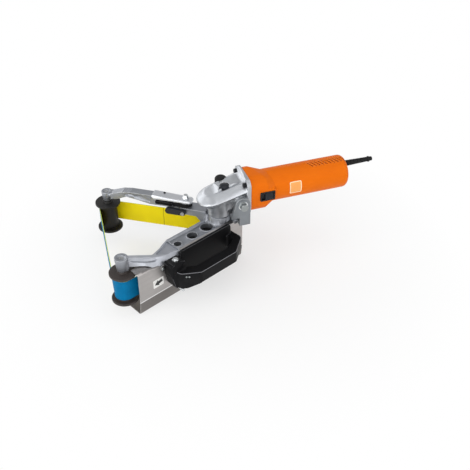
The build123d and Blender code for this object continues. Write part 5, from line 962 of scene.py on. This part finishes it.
# Small plates between the matching outlines of their two sides
shade_strip_turns = [radians(a) for a in range(shade_strip_arc[0], shade_strip_arc[1] + 1, shade_strip_step)]
shade_strip_inner, shade_strip_outer = [[(pivot_s - r * cos(a), r * sin(a)) for a in shade_strip_turns] for r in shade_strip_r]
shade_strip_plan = shade_strip_outer + [(shade_strip_end, shade_strip_end_u[1]), (shade_strip_end, shade_strip_end_u[0])] + shade_strip_inner[::-1]
flange_sides = [[near_point(s, t, z) for s, z in guard_flange] for t in guard_flange_t]
rib_sides = [[Vector((x, y, z)) * MM for x, z in bell_rib] for y in bell_rib_y]
catch_sides = [[far_point(s, u, z) for s, z in lever_catch] for u in lever_catch_u]
shade_strip_sides = [[far_point(s, u, z) for s, u in shade_strip_plan] for z in shade_strip_z]
for plate_name, sides, plate_finish, body, slot in (
        ("guard_top_flange", flange_sides, sheet, "frame", "sheet_steel"),
        ("bell_rib", rib_sides, arm_cast, "frame", "die_cast"),
        ("lever_catch", catch_sides, arm_cast, "swing_arm", "die_cast"),
        # The black strip under the tension cover is painted shade
        ("pivot_shade_strip", shade_strip_sides, rubber, "swing_arm", "rubber")):
    place(plate_name, loft(plate_name, [sides], plate_finish), body, slot)


def barrel_slab(name, outline, lift, finish):
    """A thin slab bent round the motor barrel from an outline in (along, degrees from the top) pairs."""
    bm = bmesh.new()
    bm.faces.new([bm.verts.new((x, a, 0)) for x, a in outline])
    first, last = round(min(a for _, a in outline)), round(max(a for _, a in outline))
    for a in range(first + barrel_facet, last, barrel_facet):
        parts = bm.verts[:] + bm.edges[:] + bm.faces[:]
        bmesh.ops.bisect_plane(bm, geom=parts, plane_co=(0, a, 0), plane_no=(0, 1, 0))
    grown = bmesh.ops.extrude_face_region(bm, geom=bm.faces[:])["geom"]
    raised = {v for v in grown if isinstance(v, bmesh.types.BMVert)}
    for v in bm.verts:
        r = barrel_r + (lift if v in raised else 0.0)
        a = radians(v.co.y)
        v.co = Vector((v.co.x, -r * sin(a), barrel_z + r * cos(a))) * MM
    place(name, close_mesh(bm, name, finish, sharp_angle), "frame", "housing_plastic")


degrees_per_mm = degrees(1 / barrel_r)
badge_arc = [a / degrees_per_mm for a in badge_angle]
for badge_name, border, lift, badge_finish in (
        ("badge_border", 0.0, badge_thickness, badge_cream),
        ("badge_field", badge_border, 1.5 * badge_thickness, badge_bare)):
    low = (badge_x[0] + border, badge_arc[0] + border)
    high = (badge_x[1] - border, badge_arc[1] - border)
    edge = rounded_rectangle(low, high, badge_corner - border / 2)
    barrel_slab(badge_name, [(x, arc * degrees_per_mm) for x, arc in edge], lift, badge_finish)

# Dark dished floors at the foot of the holes through the near arm: painted shade for the dark inside of the
# holes
floor_turns = [radians(360 * k / round_sides) for k in range(round_sides)]
floor_low, floor_high = hole_floor_z
floor_levels = ((1.0, floor_low), (1.0, floor_high + hole_floor_rim), (hole_floor_share, floor_high))
floor_shapes = [
    [[near_point(s + share * (r - hole_floor_gap) * cos(a), t + share * (r - hole_floor_gap) * sin(a), z)
      for a in floor_turns] for share, z in floor_levels]
    for s, t, r in zip(hole_s, hole_t, hole_r)]
place("hole_shade_floors", loft("hole_shade_floors", floor_shapes, rubber, sharp_angle), "frame", "rubber")


def stud_tree():
    """A threaded stud on a point: a core, a ridge wound round it, a nut and a head behind the sheet."""
    tree, given = new_tree("stud", {
        "Radius": "Float", "Length": "Float", "Pitch": "Float", "Nut corner": "Float", "Nut height": "Float",
        "Sheet": "Float", "Axis": "Vector", "Finish": "Material"})
    pitch, length, nut_r = given["Pitch"], given["Length"], given["Nut corner"]
    core_r = add(tree, "ShaderNodeMath", {
        0: pitch, 1: -stud_depth_share, 2: given["Radius"]}, operation="MULTIPLY_ADD")
    core = add(tree, "GeometryNodeMeshCone", {
        "Vertices": rod_sides, "Radius Top": core_r, "Radius Bottom": core_r, "Depth": length})
    turns = add(tree, "ShaderNodeMath", {0: length, 1: pitch}, operation="DIVIDE")
    ridge_r = add(tree, "ShaderNodeMath", {
        0: pitch, 1: -stud_crest_share, 2: given["Radius"]}, operation="MULTIPLY_ADD")
    winding = add(tree, "GeometryNodeCurveSpiral", {
        "Resolution": thread_steps, "Rotations": turns, "Start Radius": ridge_r, "End Radius": ridge_r,
        "Height": length})
    crest = add(tree, "ShaderNodeMath", {0: pitch, 1: stud_crest_share}, operation="MULTIPLY")
    profile = add(tree, "GeometryNodeCurvePrimitiveCircle", {"Resolution": crest_sides, "Radius": crest})
    ridge = add(tree, "GeometryNodeCurveToMesh", {
        "Curve": winding, "Profile Curve": profile, "Fill Caps": True})
    nut = add(tree, "GeometryNodeMeshCone", {
        "Vertices": hexagon_sides, "Radius Top": nut_r, "Radius Bottom": nut_r, "Depth": given["Nut height"]})
    rear = add(tree, "GeometryNodeMeshCone", {
        "Vertices": rod_sides, "Radius Top": nut_r, "Radius Bottom": given["Radius"],
        "Depth": given["Sheet"]})
    sink = add(tree, "ShaderNodeMath", {0: given["Sheet"], 1: -2.0}, operation="MULTIPLY")
    back = add(tree, "ShaderNodeCombineXYZ", {"Z": sink})
    rear_back = add(tree, "GeometryNodeTransform", {"Geometry": rear, "Translation": back})
    rod = add(tree, "GeometryNodeJoinGeometry", {0: [core, ridge, nut, rear_back]})
    return end_tree(tree, stand(tree, given, rod), given["Finish"])


stud_mesh = grow(stud_tree(), "threaded_stud", [near_point(stud_s, guard_face, stud_z)], [], {
    "Radius": stud_r * MM, "Length": stud_out * MM, "Pitch": stud_pitch * MM, "Sheet": sheet_thickness * MM,
    "Nut corner": stud_nut_corner * MM, "Nut height": stud_nut_height * MM, "Axis": tuple(near_out),
    "Finish": zinc}, screw_smooth)
place("threaded_stud", stud_mesh, "frame", "zinc_plate", "guard_stud")


def bead_tree():
    """A thin round bead along an open path, with its corners rounded."""
    tree, given = new_tree("bead", {"Bend radius": "Float", "Bead radius": "Float", "Finish": "Material"})
    path = add(tree, "GeometryNodeMeshToCurve", {0: given["Geometry"]})
    bent = add(tree, "GeometryNodeFilletCurve", {
        "Curve": path, "Radius": given["Bend radius"], "Limit Radius": True, "Count": bend_steps},
        mode="POLY")
    section = add(tree, "GeometryNodeCurvePrimitiveCircle", {
        "Resolution": wire_sides, "Radius": given["Bead radius"]})
    swept = add(tree, "GeometryNodeCurveToMesh", {"Curve": bent, "Profile Curve": section, "Fill Caps": True})
    return end_tree(tree, swept, given["Finish"])


def inset(corners, gap):
    """The corners of an open line moved to its right by gap."""
    runs = [(Vector(b) - Vector(a)).normalized() for a, b in zip(corners, corners[1:])]
    moved = []
    for i, corner in enumerate(corners):
        sides = [Vector((-run.y, run.x)) for run in runs[max(0, i - 1):i + 1]]
        lean = sum(sides, Vector((0, 0))).normalized()
        moved.append(Vector(corner) - lean * gap / lean.dot(sides[0]))
    return moved


bow_inset = bow_edge_r * (1 - sqrt(0.5))
bow_points = [near_point(p.x, p.y, bow_top_z - bow_inset) for p in inset(bow_line, bow_inset)]
bow_edges = [(i, i + 1) for i in range(len(bow_points) - 1)]
bow_bead = grow(bead_tree(), "bow_tool_line_highlight", bow_points, bow_edges, {
    "Bend radius": bow_bend_r * MM, "Bead radius": bow_line_r * MM, "Finish": highlight_grey}, bead_smooth)
place("bow_tool_line_highlight", bow_bead, "frame", "black_plastic")


def coil_tree():
    """A compression spring that stands on a point: round wire wound at an even pitch."""
    tree, given = new_tree("coil", {
        "Coil radius": "Float", "Wire radius": "Float", "Height": "Float", "Turns": "Int",
        "Finish": "Material"})
    winding = add(tree, "GeometryNodeCurveSpiral", {
        "Resolution": coil_steps, "Rotations": given["Turns"], "Start Radius": given["Coil radius"],
        "End Radius": given["Coil radius"], "Height": given["Height"]})
    wire = add(tree, "GeometryNodeCurvePrimitiveCircle", {
        "Resolution": wire_sides, "Radius": given["Wire radius"]})
    swept = add(tree, "GeometryNodeCurveToMesh", {"Curve": winding, "Profile Curve": wire, "Fill Caps": True})
    stood = add(tree, "GeometryNodeInstanceOnPoints", {"Points": given["Geometry"], "Instance": swept})
    return end_tree(tree, stood, given["Finish"])


lock_foot, lock_low, lock_high = box_middle("lock_spring")
lock_foot.z = lock_low.z
lock_height = lock_high.z - lock_low.z
coil_lift = (lock_wire_r + lock_wire_gap) * MM
lock_coil = grow(coil_tree(), "lock_coil", [lock_foot + up * coil_lift], [], {
    "Coil radius": lock_spring_r * MM, "Wire radius": lock_wire_r * MM, "Turns": lock_turns,
    "Height": lock_height - 2 * coil_lift, "Finish": spring_wire}, sweep_smooth)
lock_coil_piece = place("lock_coil", lock_coil, "frame", node_slot["lock_spring"], "lock_spring")
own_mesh(lock_coil_piece)


def seen_share(tree):
    """1 for what the lens sees, also in gloss and through glass, and 0 for what only lights the object."""
    path = add(tree, "ShaderNodeLightPath").node.outputs
    seen = add(tree, "ShaderNodeMath", {
        0: path["Is Camera Ray"], 1: path["Is Glossy Ray"]}, operation="MAXIMUM")
    return add(tree, "ShaderNodeMath", {0: seen, 1: path["Is Transmission Ray"]}, operation="MAXIMUM")


def studio_floor():
    """A wide pale floor under the guard that fades to white away from the object."""
    half = floor_half * MM
    level = cad_box[0].z - floor_gap * MM
    corners = [(-half, -half, level), (half, -half, level), (half, half, level), (-half, half, level)]
    mesh = bpy.data.meshes.new("studio_floor")
    mesh.from_pydata(corners, [], [(0, 1, 2, 3)])
    floor = bpy.data.objects.new("studio_floor", mesh)
    scene.collection.objects.link(floor)
    # Matt painted board: pale, with no gloss; what the lens and bright metal see of it far off is plain white
    material, tree, shader, where = new_finish(
        "painted_board_matt", Base_Color=linear("#f4f4f3"), Roughness=0.9, Specular_IOR_Level=0.1)
    far_off = add(tree, "ShaderNodeVectorMath", {0: where}, out="Value", operation="LENGTH")
    fade = add(tree, "ShaderNodeMapRange", {
        0: far_off, 1: floor_fade[0] * MM, 2: floor_fade[1] * MM, 3: floor_white[0], 4: floor_white[1]})
    amount = add(tree, "ShaderNodeMath", {0: seen_share(tree), 1: fade}, operation="MULTIPLY")
    white = add(tree, "ShaderNodeEmission", {"Color": linear("#ffffff"), "Strength": 1.0})
    mixed = add(tree, "ShaderNodeMixShader", {0: amount, 1: shader.outputs[0], 2: white})
    fill(tree, tree.nodes["Material Output"], {"Surface": mixed})
    mesh.materials.append(material)


def studio_world():
    """Even light from all round; the lens and bright metal see a white room with a dim ceiling."""
    world = bpy.data.worlds.new("studio")
    scene.world = world
    world.use_nodes = True
    tree = world.node_tree
    toward = add(tree, "ShaderNodeTexCoord", out="Generated")
    rise = add(tree, "ShaderNodeSeparateXYZ", {0: toward}, out="Z")
    wall = add(tree, "ShaderNodeMapRange", {
        0: rise, 1: wall_rise[0], 2: wall_rise[1], 3: 1.0, 4: ceiling_level})
    around = add(tree, "ShaderNodeBackground", {"Color": linear("#f2f4f7"), "Strength": room_level})
    behind = add(tree, "ShaderNodeBackground", {"Color": linear("#ffffff"), "Strength": wall})
    both = add(tree, "ShaderNodeMixShader", {0: seen_share(tree), 1: around, 2: behind})
    fill(tree, tree.nodes["World Output"], {"Surface": both})


def aim(name, data, place_mm, target_mm):
    """Puts a lamp or the camera in its place, turned to a target."""
    thing = bpy.data.objects.new(name, data)
    scene.collection.objects.link(thing)
    thing.location = Vector(place_mm) * MM
    thing.rotation_mode = "QUATERNION"
    thing.rotation_quaternion = (Vector(target_mm) - Vector(place_mm)).to_track_quat("-Z", "Y")
    return thing


studio_floor()
studio_world()
for lamp_name, lamp_at, width, watts in softboxes:
    lamp = bpy.data.lights.new(lamp_name, "AREA")
    lamp.energy = watts
    lamp.size = width
    aim(lamp_name, lamp, lamp_at, softbox_target)

lens = bpy.data.cameras.new("camera")
lens.lens = camera_lens
lens.sensor_width = camera_sensor
lens.clip_end = camera_reach * MM
scene.camera = aim("camera", lens, camera_at, camera_target)
scene.view_settings.view_transform = "Standard"
